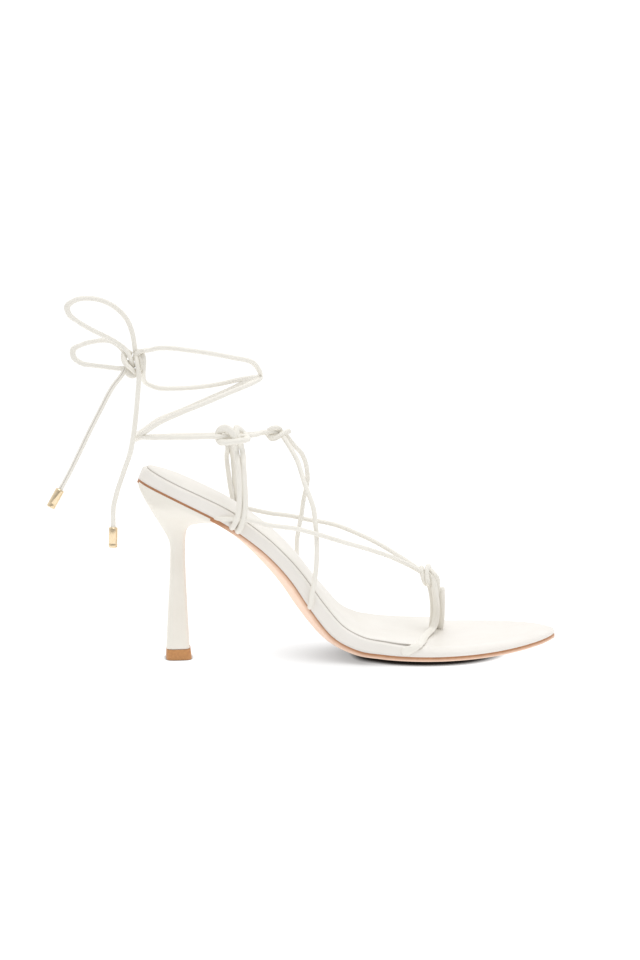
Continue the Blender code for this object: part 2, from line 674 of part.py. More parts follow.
def make_upper(parts):
    pieces = [turned_knot("toe_knot", TOE_KNOT, TOE_KNOT_AXIS, TURN_RADIUS, KNOT_CORE, parts)]
    pieces += [strap_tube(name, strap, parts) for name, strap in STRAPS.items()]
    for side in (LATERAL, MEDIAL):
        eye = on_leg(*STAY_EYE[side], side)
        ahead = on_leg(STAY_EYE[side][0] - CORD, STAY_EYE[side][1], side)
        pieces.append(ring_round("stay_loop", eye, ahead - eye, parts))
        pieces.append(toe_strap(side, parts))
    post = TOE_POST + [on_footbed(*TOE_POST_FOOT, GAP)]
    pieces.append(tube("toe_post", flow(post, CORD_STEP), CORD, parts))
    pieces.append(turned_knot("front_knot", FRONT_KNOT, FRONT_KNOT_AXIS, TURN_RADIUS, KNOT_CORE, parts))
    finish_part(joined(pieces), "upper_straps", "leather")


def make_ankle_tie(parts):
    pieces = []
    for start in (LATERAL, MEDIAL):
        route = [Vector(p) for p in TIE_START[start]]
        for stretch in TIE[start]:
            route += [on_leg(x, z, stretch.side) for x, z in stretch.route]
        route.append(Vector(TIE_END[start]))
        pieces.append(tube("tie", flow(route, CORD_STEP), CORD, parts))
    finish_part(joined(pieces), "ankle_tie", "leather")


def make_bow(parts):
    knot = turned_knot("bow_turns", BOW_KNOT, BOW_KNOT_AXIS, BOW_TURN_RADIUS, BOW_CORE, parts)
    finish_part(knot, "bow_knot", "leather")
    for name, route in BOW.items():
        finish_part(tube(name, flow(route, BOW_STEP), CORD, parts), name, "leather")


def make_cord_tips(parts):
    diameter, length = CORD_TIP_SIZE
    for name, cord in CORD_TIPS.items():
        before, end = (Vector(p) for p in BOW[cord][-2:])
        direction = (end - before).normalized()
        mesh = bmesh.new()
        bmesh.ops.create_cone(
            mesh,
            cap_ends=True,
            segments=CORD_TIP_SIDES,
            radius1=diameter / 2 * MM,
            radius2=diameter / 2 * MM,
            depth=length * MM,
        )
        caps = [edge for edge in mesh.edges if abs(edge.verts[0].co.z - edge.verts[1].co.z) < TINY]
        bmesh.ops.bevel(
            mesh, geom=caps, offset=CORD_TIP_BEVEL * MM, segments=2, affect="EDGES", profile=0.5
        )
        middle = in_frame(end + direction * (GAP + length / 2))
        turn = direction.to_track_quat("Z", "Y").to_matrix().to_4x4()
        bmesh.ops.transform(mesh, matrix=Matrix.Translation(middle) @ turn, verts=mesh.verts)
        data = bpy.data.meshes.new(name)
        mesh.to_mesh(data)
        mesh.free()
        finish_part(add_object(name, data, parts), name, "gold")


def main():
    for old in list(bpy.data.objects):
        bpy.data.objects.remove(old)
    parts = bpy.data.collections.new("strappy_heel")
    bpy.context.scene.collection.children.link(parts)
    make_footbed(parts)
    make_outsole(parts)
    make_insole(parts)
    make_heel(parts)
    make_upper(parts)
    make_ankle_tie(parts)
    make_bow(parts)
    make_cord_tips(parts)


main()
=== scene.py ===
"""Looks of the strappy heel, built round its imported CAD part: smooth leather over the same sole, heel and
cord routes, with the knots, the insole's seam, the sole's coloured edge and the gold cord tips.
Routes and tables are in millimetres from the heel back and go into the part's frame through in_frame()."""

import math
from collections import namedtuple

import bmesh
import bpy
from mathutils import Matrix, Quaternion, Vector


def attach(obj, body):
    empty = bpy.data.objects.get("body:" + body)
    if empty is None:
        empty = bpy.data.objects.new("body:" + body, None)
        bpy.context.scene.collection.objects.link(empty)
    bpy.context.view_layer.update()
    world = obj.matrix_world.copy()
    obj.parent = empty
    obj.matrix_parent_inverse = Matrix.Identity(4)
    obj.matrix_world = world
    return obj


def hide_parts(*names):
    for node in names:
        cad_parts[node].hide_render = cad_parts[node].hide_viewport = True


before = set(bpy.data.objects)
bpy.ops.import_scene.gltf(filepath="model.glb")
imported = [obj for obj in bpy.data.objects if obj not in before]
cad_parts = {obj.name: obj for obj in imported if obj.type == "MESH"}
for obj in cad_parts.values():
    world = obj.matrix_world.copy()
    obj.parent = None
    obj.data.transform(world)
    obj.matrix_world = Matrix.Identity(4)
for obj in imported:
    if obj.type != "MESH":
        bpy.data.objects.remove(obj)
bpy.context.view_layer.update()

MM = 0.001
GAP = 0.3
LENGTH = 221.0
HEEL_TIP_X = 19.2
HEEL_ROUND = 26.0
TOE_ROUND = 60.0
LATERAL_TOE_POWER = 0.66
MEDIAL_TOE_POWER = 0.58
OUTSOLE_EDGE = 2.0
OUTSOLE_BEVEL = 0.5
OUTSOLE_ENDS = 0.3  # how far the outsole's first and last rings lie from the ends of the sole
FOOTBED_ENDS = 0.04
TREAD_SHARE = 0.34
RIM_DEPTH = 0.92
RIM_SOFT = 1.5  # the leather's rounding starts further in than the solid's, and more gently
RIM_POWER = 2.2
RIM_MOST = 0.7  # share of the half width that the rounding may take up
LATERAL, MEDIAL = -1, 1
INSOLE_INSET = 2.0
INSOLE_EDGE = 0.5
INSOLE_SINK = 0.4  # how far the pad reaches down into the footbed's cover
# painted shade: the pad's side is coloured dark up to the first height, as the shadow of its gap at the
# footbed
SEAM_SHADE_LINE = (0.3, 0.4)  # heights up to which the pad's side is dark, and from which it is clear
PAD_POWER = 4
PAD_EASE = (14.0, 34.0)  # lengths over which the padding grows from the back and from the front
FRONT_RISE = 0.45  # share of the height of the pad's edge that is left at its front end
INSOLE_TIP = (161.5, 26.4)
INSOLE_SHOULDER_X = {LATERAL: 137.3, MEDIAL: 160.2}

# The sole, station by station from the heel back, within 0.3 mm of the part's source
Station = namedtuple("Station", "x z lateral medial thick lift arch crown pad rim")
SOLE = [
    Station(0, 96.0, 24.5, 24.5, 6.9, 0.0, 0.0, 0.0, 1.5, 1.8),
    Station(15, 89.4, 24.6, 24.5, 6.3, 0.0, 0.0, 0.0, 2.1, 1.8),
    Station(30, 81.9, 24.8, 24.4, 6.6, 0.0, 0.3, 0.0, 2.1, 1.8),
    Station(42, 75.3, 24.4, 23.8, 6.8, 0.0, 0.8, 0.2, 2.1, 1.8),
    Station(55, 66.2, 23.3, 22.2, 6.6, 0.0, 1.3, 2.0, 2.5, 1.8),
    Station(67, 55.8, 22.1, 20.2, 6.4, 0.0, 1.7, 3.3, 3.0, 1.8),
    Station(78, 43.1, 21.8, 18.6, 6.6, 0.0, 2.9, 3.6, 3.0, 1.8),
    Station(88, 27.8, 22.6, 18.4, 7.2, 0.0, 4.9, 3.4, 2.5, 1.8),
    Station(98, 14.6, 25.0, 20.0, 7.6, 0.3, 5.5, 2.7, 2.0, 1.8),
    Station(110, 6.4, 29.4, 24.4, 7.4, 1.7, 4.6, 1.3, 1.5, 1.9),
    Station(124, 3.4, 34.6, 30.4, 6.9, 2.8, 2.2, 0.3, 0.9, 2.4),
    Station(138, 2.3, 38.2, 35.2, 6.2, 3.2, 1.1, 0.0, 1.3, 3.4),
    Station(152, 2.25, 39.3, 38.0, 5.4, 3.0, 0.9, 0.0, 1.7, 4.8),
    Station(166, 2.65, 39.3, 38.6, 5.0, 3.0, 0.0, 0.0, 1.4, 5.4),
    Station(182, 3.85, 39.0, 38.4, 4.4, 2.6, 0.0, 0.0, 1.4, 5.4),
    Station(204, 6.5, 38.6, 38.2, 3.7, 1.5, 0.0, 0.0, 1.4, 5.0),
    Station(221, 8.6, 38.4, 38.0, 3.6, 0.6, 0.0, 0.0, 1.4, 4.6),
]
FINE_STATIONS = 190
FINE_CROWDING = 0.965  # how closely the stations crowd towards the two ends

# The outsole's side: all brown up to 40 mm and pale below a brown line from 54, which broadens from 85 to 115
PALE_FROM, BROAD_FROM = (40.0, 54.0), (85.0, 115.0)
# Depth below the footbed, set-back, and how brown it is there at the waist and at the ball
EdgeRow = namedtuple("EdgeRow", "depth inset waist ball")
EDGE_ROWS = [
    EdgeRow(0.15, 0.0, 1.0, 1.0),
    EdgeRow(0.4, 0.0, 0.9, 1.0),
    EdgeRow(0.75, 0.0, 0.5, 0.95),
    EdgeRow(1.15, 0.0, 0.3, 0.7),
    EdgeRow(1.8, 0.0, 0.14, 0.35),
    EdgeRow(2.1, 0.12, 0.05, 0.1),
]

HeelRow = namedtuple("HeelRow", "back_x back_z front_x front_z half")
HEEL_SEAT = (0.9, 41.0, 27.0)  # back x, front x and half width where the cover meets the sole
SEAT_DEPTHS = (GAP + 0.9, GAP + OUTSOLE_EDGE + 0.15)  # its top edge, and where it starts to narrow
SEAT_OVERHANG = 0.15
HEEL = [
    HeelRow(3.0, 85.6, 35.5, 73.2, 20.5),
    HeelRow(5.7, 80.5, 31.0, 72.6, 17.0),
    HeelRow(9.0, 74.9, 27.4, 71.7, 13.4),
    HeelRow(12.3, 69.2, 25.1, 69.4, 10.2),
    HeelRow(14.8, 64.2, 24.2, 65.6, 7.9),
    HeelRow(15.9, 59.4, 23.9, 60.6, 6.6),
    HeelRow(15.9, 54.5, 23.8, 54.5, 6.0),
    HeelRow(15.4, 42.0, 24.1, 42.0, 6.0),
    HeelRow(14.3, 25.0, 24.7, 25.0, 6.5),
    HeelRow(13.2, 5.8, 25.5, 5.8, 7.2),
]
HEEL_RINGS = 90
HEEL_TIP = [HeelRow(13.2, 5.5, 25.9, 5.5, 7.4), HeelRow(12.9, 0.0, 26.5, 0.0, 7.7)]
# The tip's edges are broken: shares of the way down, and of the size there
HEEL_TIP_SHAPE = [(0.0, 0.985), (0.02, 1.0), (0.5, 1.0), (0.96, 1.0), (1.0, 0.985)]
HEEL_SIDES = 72
FRONT_POWER = 0.45
BACK_POWER = 0.5
SIDE_POWER = 0.45

LastRow = namedtuple("LastRow", "x middle half wide ridge")
LAST = [
    LastRow(36, 0.0, 27.5, 93, 195),
    LastRow(55, 0.0, 28.0, 88, 160),
    LastRow(66, 0.0, 28.5, 80, 126),
    LastRow(75, 0.0, 29.0, 72, 117.5),
    LastRow(85, 0.0, 29.5, 62, 108),
    LastRow(95, 0.0, 30.0, 52, 98),
    LastRow(108, 1.0, 31.5, 40, 81),
    LastRow(122, 3.0, 34.0, 30, 67),
    LastRow(136, 6.0, 35.0, 24, 52.5),
    LastRow(152, 9.0, 35.0, 18, 41),
]
LAST_POWER = 1.7
LegRow = namedtuple("LegRow", "z front back half")
LEG = [
    LegRow(114, 74.0, -1.0, 25.6),
    LegRow(132, 68.5, -1.0, 25.2),
    LegRow(150, 64.0, -1.0, 25.0),
    LegRow(166, 62.0, -1.0, 25.0),
]

# Cords: routes as (x, z) on one side of the last or leg, or as (x, y, z)
CORD = 2.5
CORD_STEP = 7.0
EASE_PASSES = 10
FINE_STEP = 0.6
CORD_SIDES = 22
SEAM_DEPTH, SEAM_SPREAD = 0.055, 11.0  # share of the cord's radius, and half width in degrees
# Angles of the seam round the cord, from the side that faces the camera
SEAM_USUAL, SEAM_BEHIND, SEAM_IN_SIGHT = 150.0, 180.0, 20.0
UNEVEN = ((0.006, 2.9, 0.0), (0.003, 1.3, 1.0))  # share, length and start of each slow change in thickness
CORD_ENDS = (0.9, 0.985)  # shares of the thickness at the last rings of each end
BEND_SPAN = 1.8  # length over which a bend's sharpness is evened out
BEND_SHARE, BEND_MOST = 1.1, 0.26  # how far a bend widens the cord
Strap = namedtuple("Strap", "side route tail")
# Straps: (x, z, height over the last) at each point, then where the lower end goes in under the footbed
STRAPS = {
    "lateral_long": Strap(
        LATERAL,
        [(39.8, 77.5, -2.4), (43.5, 77.1, -1.5), (49.5, 77, -0.8), (56.5, 76.5, -0.3), (66.5, 74, 0.8),
         (78.5, 72.5, 2.2), (91, 69, 2.6), (103.5, 64.5, 2.0), (117, 59.5, 1.0), (130.5, 53.5, 0.8),
         (141, 47.5, 0.8)],
        (36.8, -21.8, 78.4),
    ),
    "medial_long": Strap(
        MEDIAL,
        [(45, 77, 0.4), (53, 75.8, 0.8), (60.5, 74, 0.8), (70.5, 71.5, 0.8), (83.5, 69.5, 0.8),
         (91.5, 67.5, 0.8), (98, 66.5, 0.8), (106.5, 64.5, 0.8), (115.5, 61, 0.8), (125.5, 56.5, 0.8),
         (134.5, 51.5, 0.8), (141, 47.5, 0.8)],
        (41.6, 21.6, 76.8),
    ),
    "lateral_cross": Strap(
        LATERAL,
        [(79.5, 110, 0), (82.5, 104, 0), (84, 98.5, 0), (85.5, 93, 0), (87.5, 87.5, 0), (89, 83, 0),
         (90, 75, 0), (90.5, 66, 0), (90.5, 57.5, 0), (90, 49, -0.2), (88.8, 40.0, -0.6),
         (88.0, 34.6, -0.9), (87.6, 30.6, -1.1)],
        (87.0, -19.8, 28.8),
    ),
    "medial_cross": Strap(
        MEDIAL,
        [(82, 111, 0), (85.5, 107, 0), (88, 102, 0), (89.5, 96, 0), (90, 91.5, 0), (89.5, 86, 0),
         (88.5, 81, 0), (88, 75.5, 0), (86.5, 66.5, 0), (85, 59, 0), (84.5, 52, 0), (84, 45, -0.4),
         (83.6, 40.4, -0.8)],
        (82.6, 16.4, 38.6),
    ),
}
# Stays: rear and front cord of each pair in the same form, from the sole up
STAYS = {
    LATERAL: (
        Strap(
            LATERAL,
            [(48.0, 73.5, 0.0), (49.6, 76.2, 1.4), (50.8, 82, 1.4), (51.3, 88.5, 0.8), (51.3, 95.5, 0.4),
             (50.9, 104, 0.2)],
            (46.9, -20.8, 72.6),
        ),
        Strap(
            LATERAL,
            [(51.1, 71.6, 0.0), (52.6, 75.2, 1.4), (53.9, 82, 1.4), (54.0, 91, 0.8), (53.6, 97.5, 0.4),
             (53.4, 105, 0.2)],
            (49.9, -20.4, 70.4),
        ),
    ),
    MEDIAL: (
        Strap(
            MEDIAL,
            [(49.5, 72.5, 0), (50.5, 77.5, 0), (50, 81, 0), (49, 88, 0), (47.9, 97, 0), (47.4, 102, 0)],
            (48.4, 20.6, 70.8),
        ),
        Strap(
            MEDIAL,
            [(52.5, 70.5, 0), (53, 78.5, 0), (52.5, 83.5, 0), (51.5, 90, 0), (51.2, 97, 0), (50.7, 102, 0)],
            (51.4, 20.2, 68.6),
        ),
    ),
}
# Hitch of the stays round the tie on the outer side, from the rear stay to the front one
STAY_HITCH = [
    (50.0, -24.0, 112.0), (49.2, -25.4, 116.2), (48.6, -27.0, 119.6), (47.2, -27.2, 122.3),
    (44.6, -26.0, 123.8), (42.1, -24.0, 122.8), (40.8, -22.4, 120.2), (41.6, -24.6, 117.4),
    (44.4, -27.8, 116.8), (48.5, -28.5, 117.2), (52.5, -27.8, 117.6), (55.0, -25.8, 117.9),
    (55.6, -22.4, 118.3), (55.2, -19.0, 119.2), (53.6, -17.8, 121.0), (51.6, -20.2, 122.8),
    (50.2, -23.4, 123.0), (50.2, -25.6, 120.6), (51.4, -25.6, 117.0), (53.0, -23.9, 112.4),
]
STAY_CORD = {LATERAL: 2.95, MEDIAL: 2.6}
HITCH_FROM = (112.5, 116.5)  # heights between which the stays' cord grows thicker, because it is folded tight
HITCH_MORE = 0.13
STAY_PRESS = (77.0, 6.0)  # height below which the stays are pressed flat, and over what length
# The far hitch is the near one mirrored, moved from one middle (x, z) to the other, and resized by x, y and z
HITCH_MIDDLE, FAR_HITCH_MIDDLE, FAR_HITCH_SHARES = (51.15, 118.0), (48.4, 112.8), (0.6, 1.03, 0.72)
# How much thinner and wider a strap gets where it is pressed to the footbed's side, and where it lies on top
PRESSED, LYING = (0.38, 0.24), (0.55, 0.3)
PRESS_FADE = 10.0
TOE_KNOT = (153.0, 9.0, 39.5)
FRONT_KNOT = (74.0, 0.0, 118.2)
ToeStrap = namedtuple("ToeStrap", "drop lying edge_x end_x")
TOE_STRAPS = {
    LATERAL: ToeStrap(
        [(151.4, 9.4, 40.0), (153.4, 8.2, 39.9), (155.0, 7.2, 38.8), (156.1, 6.9, 36.6), (157.0, 7.0, 32.0),
         (157.7, 7.4, 27.4), (158.2, 8.2, 22.6), (158.2, 9.4, 17.0)],
        [(157.2, 9.8, 2.2), (153.4, 4.4, 0.0), (150.2, -3.0, -0.8), (146.2, -18.0, -0.9),
         (143.0, -31.5, -0.9)],
        140.4, 135.2,
    ),
    MEDIAL: ToeStrap(
        [(154.6, 12.0, 36.0), (156.6, 13.4, 30.0), (158.2, 15.0, 21.5)],
        [(160.4, 18.6, 4.4), (161.9, 22.0, 1.0), (162.9, 26.5, -0.4), (163.6, 31.0, -0.5)],
        164.2, 164.8,
    ),
}
CORNER = 0.71
TOE_STRAP_SINK = 0.7  # how much nearer than a round cord the flat strap lies at the edge
TUCKS = ((0.66, 0.5), (0.46, 0.95))  # shares of the footbed's height, and of the way to the strap's end
TOE_STRAP_END = (0.1, 1.6)  # how far out from the footbed's side and how high its middle ends
LYING_FROM = (9.0, 3.0)  # heights above the footbed between which the strap gets flat
LYING_TURN = (-3.0, 1.0)  # distances past the outline between which its flat side turns outward
LYING_REACH = 30.0  # how far out the footbed's height is taken
LONG_STRAP_END = (-1.6, 1.0)
CROSS_STRAP_START = {LATERAL: (0.4, -0.7, 0.3), MEDIAL: (2.2, 0.6, 0.2)}
CORD_SPREAD = 1.2
# Cords look thicker where they are pulled into a knot
KNOT_CORD = {"front_knot": 2.65, "toe_knot": 2.95, "toe_post": 3.6, "bow_knot": 2.7}
KNOT_ROUTES = {
    "front_knot": [
        (69.0, 2.2, 117.6), (71.0, 2.0, 117.4), (73.0, 1.6, 118.0), (74.0, 0.4, 119.2),
        (73.4, -1.2, 120.5), (71.4, -2.2, 121.1), (69.3, -2.2, 120.5), (68.0, -1.2, 119.0),
        (68.0, 0.2, 117.2), (69.2, -1.2, 115.9), (71.2, -2.6, 115.8), (73.6, -3.2, 117.0),
        (76.2, -3.0, 118.4), (79.4, -2.4, 119.6),
    ],
    "toe_knot": [
        (157.2, 19.5, 8.6), (157.4, 16.2, 19.0), (156.5, 14.4, 27.0), (155.0, 13.6, 33.6),
        (152.2, 13.2, 38.6), (150.6, 11.4, 42.2), (150.3, 8.2, 43.0), (150.1, 5.8, 40.6),
        (150.9, 5.8, 37.6), (152.6, 8.6, 35.4), (154.6, 11.8, 37.6), (155.0, 12.2, 41.4),
        (154.0, 9.8, 43.8), (152.9, 6.4, 43.3), (152.4, 4.9, 40.2), (153.0, 5.3, 36.8),
        (154.4, 8.6, 34.6), (156.2, 11.4, 36.2), (156.4, 11.2, 40.4), (155.2, 8.8, 41.9),
        (156.2, 6.8, 40.8), (157.6, 6.5, 38.9), (158.4, 7.2, 36.0), (158.7, 9.0, 32.6),
        (159.2, 11.3, 28.0), (159.6, 13.6, 21.0), (159.7, 17.0, 14.0), (159.7, 20.0, 8.4),
    ],
    "toe_post": [
        (161.2, 10.5, 32.2), (161.6, 11.5, 25.4), (161.8, 13.2, 19.4), (162.0, 16.6, 13.0),
        (162.0, 20.0, 8.2),
    ],
}
TieStretch = namedtuple("TieStretch", "side route")
TIE_START = {
    LATERAL: [(74.0, 0.6, 118.2), (71.0, -0.8, 119.0), (66.6, -2.6, 119.2), (60.5, -14.0, 119.0)],
    MEDIAL: [(70.0, 1.4, 117.8), (66.6, 2.2, 117.9), (60.0, 14.5, 116.2)],
}
TIE = {
    LATERAL: [
        TieStretch(LATERAL, [(52.2, 119.2), (39, 119.6), (25, 119.3), (11, 118.8), (3, 118.2)]),
        TieStretch(
            MEDIAL,
            [(-1, 117.8), (3.5, 119.6), (11, 124), (24, 128.6), (37, 134), (50, 139.8), (58.6, 144.8)],
        ),
        TieStretch(
            LATERAL, [(64, 149.4), (60, 155.6), (47.5, 159.6), (29, 163.2), (11, 164.4), (6.4, 163.2)]
        ),
    ],
    MEDIAL: [
        TieStretch(MEDIAL, [(47.5, 114.8), (39, 114.9), (25, 115), (11, 115.4), (3, 115.8)]),
        TieStretch(
            LATERAL,
            [(-1, 116), (3.8, 121), (10.4, 126), (22.5, 132), (35, 137), (47.2, 141.8), (58.3, 145.4)],
        ),
        TieStretch(
            MEDIAL,
            [(64, 147.2), (57, 145.6), (40.5, 141.6), (30, 140.4), (20, 140.2), (11, 141), (5.4, 143.6)],
        ),
    ],
}
TIE_END = {
    LATERAL: [(3.8, -3.4, 162.2), (1.4, -1.8, 161.4), (-0.2, -0.8, 159.6), (-0.8, 0.8, 157.4)],
    MEDIAL: [
        (3.6, 6.0, 147.2), (3.5, 1.8, 149.6), (3.7, -0.6, 151.8), (4.0, -1.8, 154.4), (4.0, -1.9, 157.0),
        (3.5, -0.8, 159.6), (2.2, 0.9, 161.2), (0.6, 1.8, 160.6),
    ],
}
BOW = {
    "bow_loop_upper": [
        (0.2, 1.4, 157.0), (-0.3, 0.6, 160.8), (-0.8, -1.2, 165.5), (-1.8, -3.0, 171.5), (-4.5, -5.0, 178.5),
        (-9.5, -7.0, 184.2), (-16.5, -9.0, 188.2), (-23.5, -10.5, 189.6), (-30.6, -11.5, 188.6),
        (-34.4, -11.5, 185.6), (-33.8, -10.5, 182.0), (-29.0, -9.0, 177.6), (-22.0, -6.5, 173.2),
        (-14.0, -4.0, 169.0), (-9.0, -2.0, 165.8), (-6.0, -1.2, 163.4), (-4.3, -1.9, 161.2),
        (-3.1, -2.5, 158.6), (-2.2, -1.8, 156.0), (-1.5, -0.4, 153.8),
    ],
    "bow_loop_lower": [
        (-4.6, 1.6, 158.6), (-6.4, 3.0, 161.6), (-9.5, 4.0, 165.0), (-14.5, 5.0, 167.2), (-20.5, 6.0, 166.8),
        (-27.6, 8.0, 165.0), (-32.6, 9.0, 162.0), (-32.4, 9.0, 158.6), (-28.6, 8.0, 155.4),
        (-22.0, 6.0, 154.2), (-14.7, 4.0, 153.4), (-9.0, 2.4, 152.8), (-5.6, 1.4, 152.8), (-2.8, 1.6, 153.8),
    ],
    "tie_end_long": [
        (-3.6, 1.0, 156.6), (-5.2, 0.2, 154.0), (-6.9, -0.6, 150.6), (-12.4, -1.0, 143.4),
        (-18.3, -2.0, 132.8), (-24.3, -3.0, 121.5), (-30.2, -4.0, 109.7), (-36.0, -5.0, 98.4),
        (-40.0, -5.4, 91.4),
    ],
    "tie_end_short": [
        (-0.4, 1.2, 160.0), (0.0, -1.2, 158.6), (0.4, -3.2, 156.2), (0.8, -3.7, 153.6),
        (1.1, -3.3, 151.0), (1.2, -3.4, 147.6), (0.6, -5.0, 140.8), (-0.4, -7.5, 131.4),
        (-1.8, -9.2, 121.0), (-3.8, -10.0, 110.6), (-7.5, -10.5, 100.3), (-11.0, -10.5, 90.0),
        (-13.0, -10.5, 82.0), (-13.3, -10.5, 72.0),
    ],
}
BOW_KNOT = {
    "left_turn": [
        (-2.4, 2.0, 160.0), (-4.4, 1.2, 161.2), (-6.0, -0.2, 160.4), (-6.3, -1.7, 158.0), (-5.3, -2.9, 155.6),
        (-3.5, -3.5, 153.8), (-1.8, -2.6, 152.2), (-0.4, -0.6, 151.2), (1.2, 1.4, 151.2),
    ],
    "under_turn": [
        (-3.6, 2.0, 156.0), (-4.7, 0.9, 153.6), (-4.5, 0.2, 151.2), (-3.1, 0.0, 149.5), (-1.4, -0.2, 149.4),
        (0.2, 0.4, 150.6), (1.4, 1.6, 152.6),
    ],
    "middle_turn": [
        (0.2, 1.6, 160.4), (1.6, -0.4, 158.8), (2.3, -1.6, 156.4), (2.3, -1.5, 153.8), (1.4, 0.4, 151.8),
    ],
}
CORD_TIPS = {"cord_tip_long": "tie_end_long", "cord_tip_short": "tie_end_short"}
CORD_TIP_SIZE = (4.6, 10.6)
CORD_TIP_SIDES = 40
CORD_IN_TIP = 2.0
SHARP_ANGLE = math.radians(40)

# Photograph's viewpoint
AIM = Vector((0.0758, 0.0, 0.093))
CAMERA_YAW, CAMERA_PITCH, CAMERA_ROLL = 5.3, 7.6, -0.3
CAMERA_DISTANCE = 1.05
CAMERA_LENS = 75.0
WORLD_TILT = (0.0, 0.32, 0.25)
WORLD_LEVEL = 0.79
# Lights: place, aim, size and power
KEY_LIGHT = ((0.25, -0.6, 1.7), (0.08, 0, 0.05), 1.3, 9.6)
FLOOR_LIGHT = ((0.1, -0.9, 1.5), (0.1, 0, 0), 1.6, 20.0)
FLOOR_PLACE, FLOOR_RADIUS = (0.09, 0, -0.0001), 0.9
FLOOR_TONE, FLOOR_GLOW = 0.12, 1.05
FLOOR_SHADE = 0.003  # how far from the shoe its contact shadow reaches
SHADE_SAMPLES = 16
FLOOR_LINE = (0.35, 0.85)  # open shares of the sky at which that shadow is black and gone
WAIST_SHADE, WAIST_DARK = 0.04, 0.72  # reach and depth of the softer shadow under the waist
WAIST_FROM, WAIST_TO = (0.015, 0.05), (0.095, 0.125)  # along the part, where that shadow starts and ends


def cubic(places, values, place):
    """Smooth curve through the values, with each slope taken from the two neighbours."""
    last = len(places) - 2
    index = min(max(sum(p <= place for p in places) - 1, 0), last)
    steps = [b - a for a, b in zip(places, places[1:])]
    slopes = [(b - a) / s for a, b, s in zip(values, values[1:], steps)]

    def slope_at(i):
        if i == 0:
            return slopes[0]
        if i == len(slopes):
            return slopes[-1]
        return (slopes[i - 1] * steps[i] + slopes[i] * steps[i - 1]) / (steps[i - 1] + steps[i])

    step = steps[index]
    t = (place - places[index]) / step
    near, far = 1 - t, t
    return (
        (1 + 2 * t) * near**2 * values[index]
        + t * near**2 * step * slope_at(index)
        + far**2 * (3 - 2 * t) * values[index + 1]
        - far**2 * near * step * slope_at(index + 1)
    )


def column(rows, name, place, key="x"):
    places = [getattr(row, key) for row in rows]
    values = [getattr(row, name) for row in rows]
    return cubic(places, values, min(max(place, places[0]), places[-1]))


def progress(value, start, end):
    """0 up to the start, 1 from the end, and even between them."""
    return min(max((value - start) / (end - start), 0.0), 1.0)


def distances(points):
    """How far along the line of points each one lies."""
    places = [0.0]
    for a, b in zip(points, points[1:]):
        places.append(places[-1] + (b - a).length)
    return places


def curve_point(places, points, place):
    return Vector([cubic(places, [p[axis] for p in points], place) for axis in range(3)])


def flow(points, step):
    """Evenly spaced points on one smooth curve through the given points."""
    points = [Vector(p) for p in points]
    places = distances(points)
    count = max(3, round(places[-1] / step))
    return [curve_point(places, points, places[-1] * k / count) for k in range(count + 1)]


def eased(points):
    """The points with their sideways run evened out between the two ends."""
    for _ in range(EASE_PASSES):
        sideways = [p.y for p in points]
        for k in range(1, len(points) - 1):
            points[k].y = (sideways[k - 1] + 2 * sideways[k] + sideways[k + 1]) / 4
    return points


def half_width(x, side, inset=0.0):
    width = column(SOLE, "medial" if side > 0 else "lateral", x) - inset
    heel = max(0.0, (HEEL_ROUND - x) / (HEEL_ROUND - inset))
    toe = max(0.0, (x - LENGTH + TOE_ROUND) / (TOE_ROUND - inset))
    power = MEDIAL_TOE_POWER if side > 0 else LATERAL_TOE_POWER
    return width * math.sqrt(max(0.0, 1 - heel**2)) * max(0.0, 1 - toe**2) ** power


def sole_normal(x):
    reach = 0.1
    low, high = max(0.0, x - reach), min(LENGTH, x + reach)
    slope = (column(SOLE, "z", high) - column(SOLE, "z", low)) / (high - low)
    return Vector((-slope, 0, 1)).normalized()


def sole_point(x, y, height):
    """Point at a height above the footbed's underside, square to the sole's own line."""
    share = abs(y) / max(half_width(x, y), 1.0)
    lift = column(SOLE, "lift", x) + (column(SOLE, "arch", x) if y > 0 else 0.0)
    rise = lift * (max(0.0, share - TREAD_SHARE) / (1 - TREAD_SHARE)) ** 2
    return Vector((x, y, column(SOLE, "z", x))) + sole_normal(x) * (height + rise)


def station_under(x):
    station = x
    for _ in range(8):
        station += x - sole_point(station, 0, column(SOLE, "thick", station)).x
    return station


def fine_stations(start, end):
    made = [start]
    for k in range(FINE_STATIONS):
        u = k / (FINE_STATIONS - 1)
        x = LENGTH * (u - FINE_CROWDING * math.sin(2 * math.pi * u) / (2 * math.pi))
        if start < x - 0.02 and x + 0.02 < end:
            made.append(x)
    return made + [end]


def on_last(x, z, side, over):
    """Middle of a cord that lies on the last, or on the footbed's edge below it."""
    station = station_under(x)
    base = sole_point(station, 0, column(SOLE, "thick", station)).z
    edge = max(half_width(station, side), half_width(x, side))
    half, wide, ridge = (column(LAST, name, x) for name in ("half", "wide", "ridge"))
    if z >= wide:
        share = min(1.0, (z - wide) / (ridge - wide))
        reach = half * (1 - share**LAST_POWER) ** (1 / LAST_POWER)
    else:
        share = min(1.0, (wide - z) / max(wide - base, 1.0))
        reach = edge + (half - edge) * (1 - share**2)
    return Vector((x, column(LAST, "middle", x) * (z > base) + side * (reach + CORD / 2 + GAP + over), z))


def on_leg(x, z, side):
    front, back, half = (column(LEG, name, z, key="z") for name in ("front", "back", "half"))
    share = (2 * x - front - back) / (front - back)
    return Vector((x, side * half * math.sqrt(max(0.0, 1 - share**2)), z))


def on_footbed(x, y, height):
    station = station_under(x)
    return sole_point(station, y, column(SOLE, "thick", station) + height)


def rim_size(x):
    """How far the rounding of the footbed's upper edge reaches inward and down."""
    reach = column(SOLE, "rim", x)
    return reach, min(reach, RIM_DEPTH * column(SOLE, "thick", x))


def outline_slant(x, side):
    """Length of the outline for each millimetre along the sole, so that the rounding is even all round."""
    step = 0.02
    return math.hypot(1.0, (half_width(x + step, side) - half_width(x - step, side)) / (2 * step))


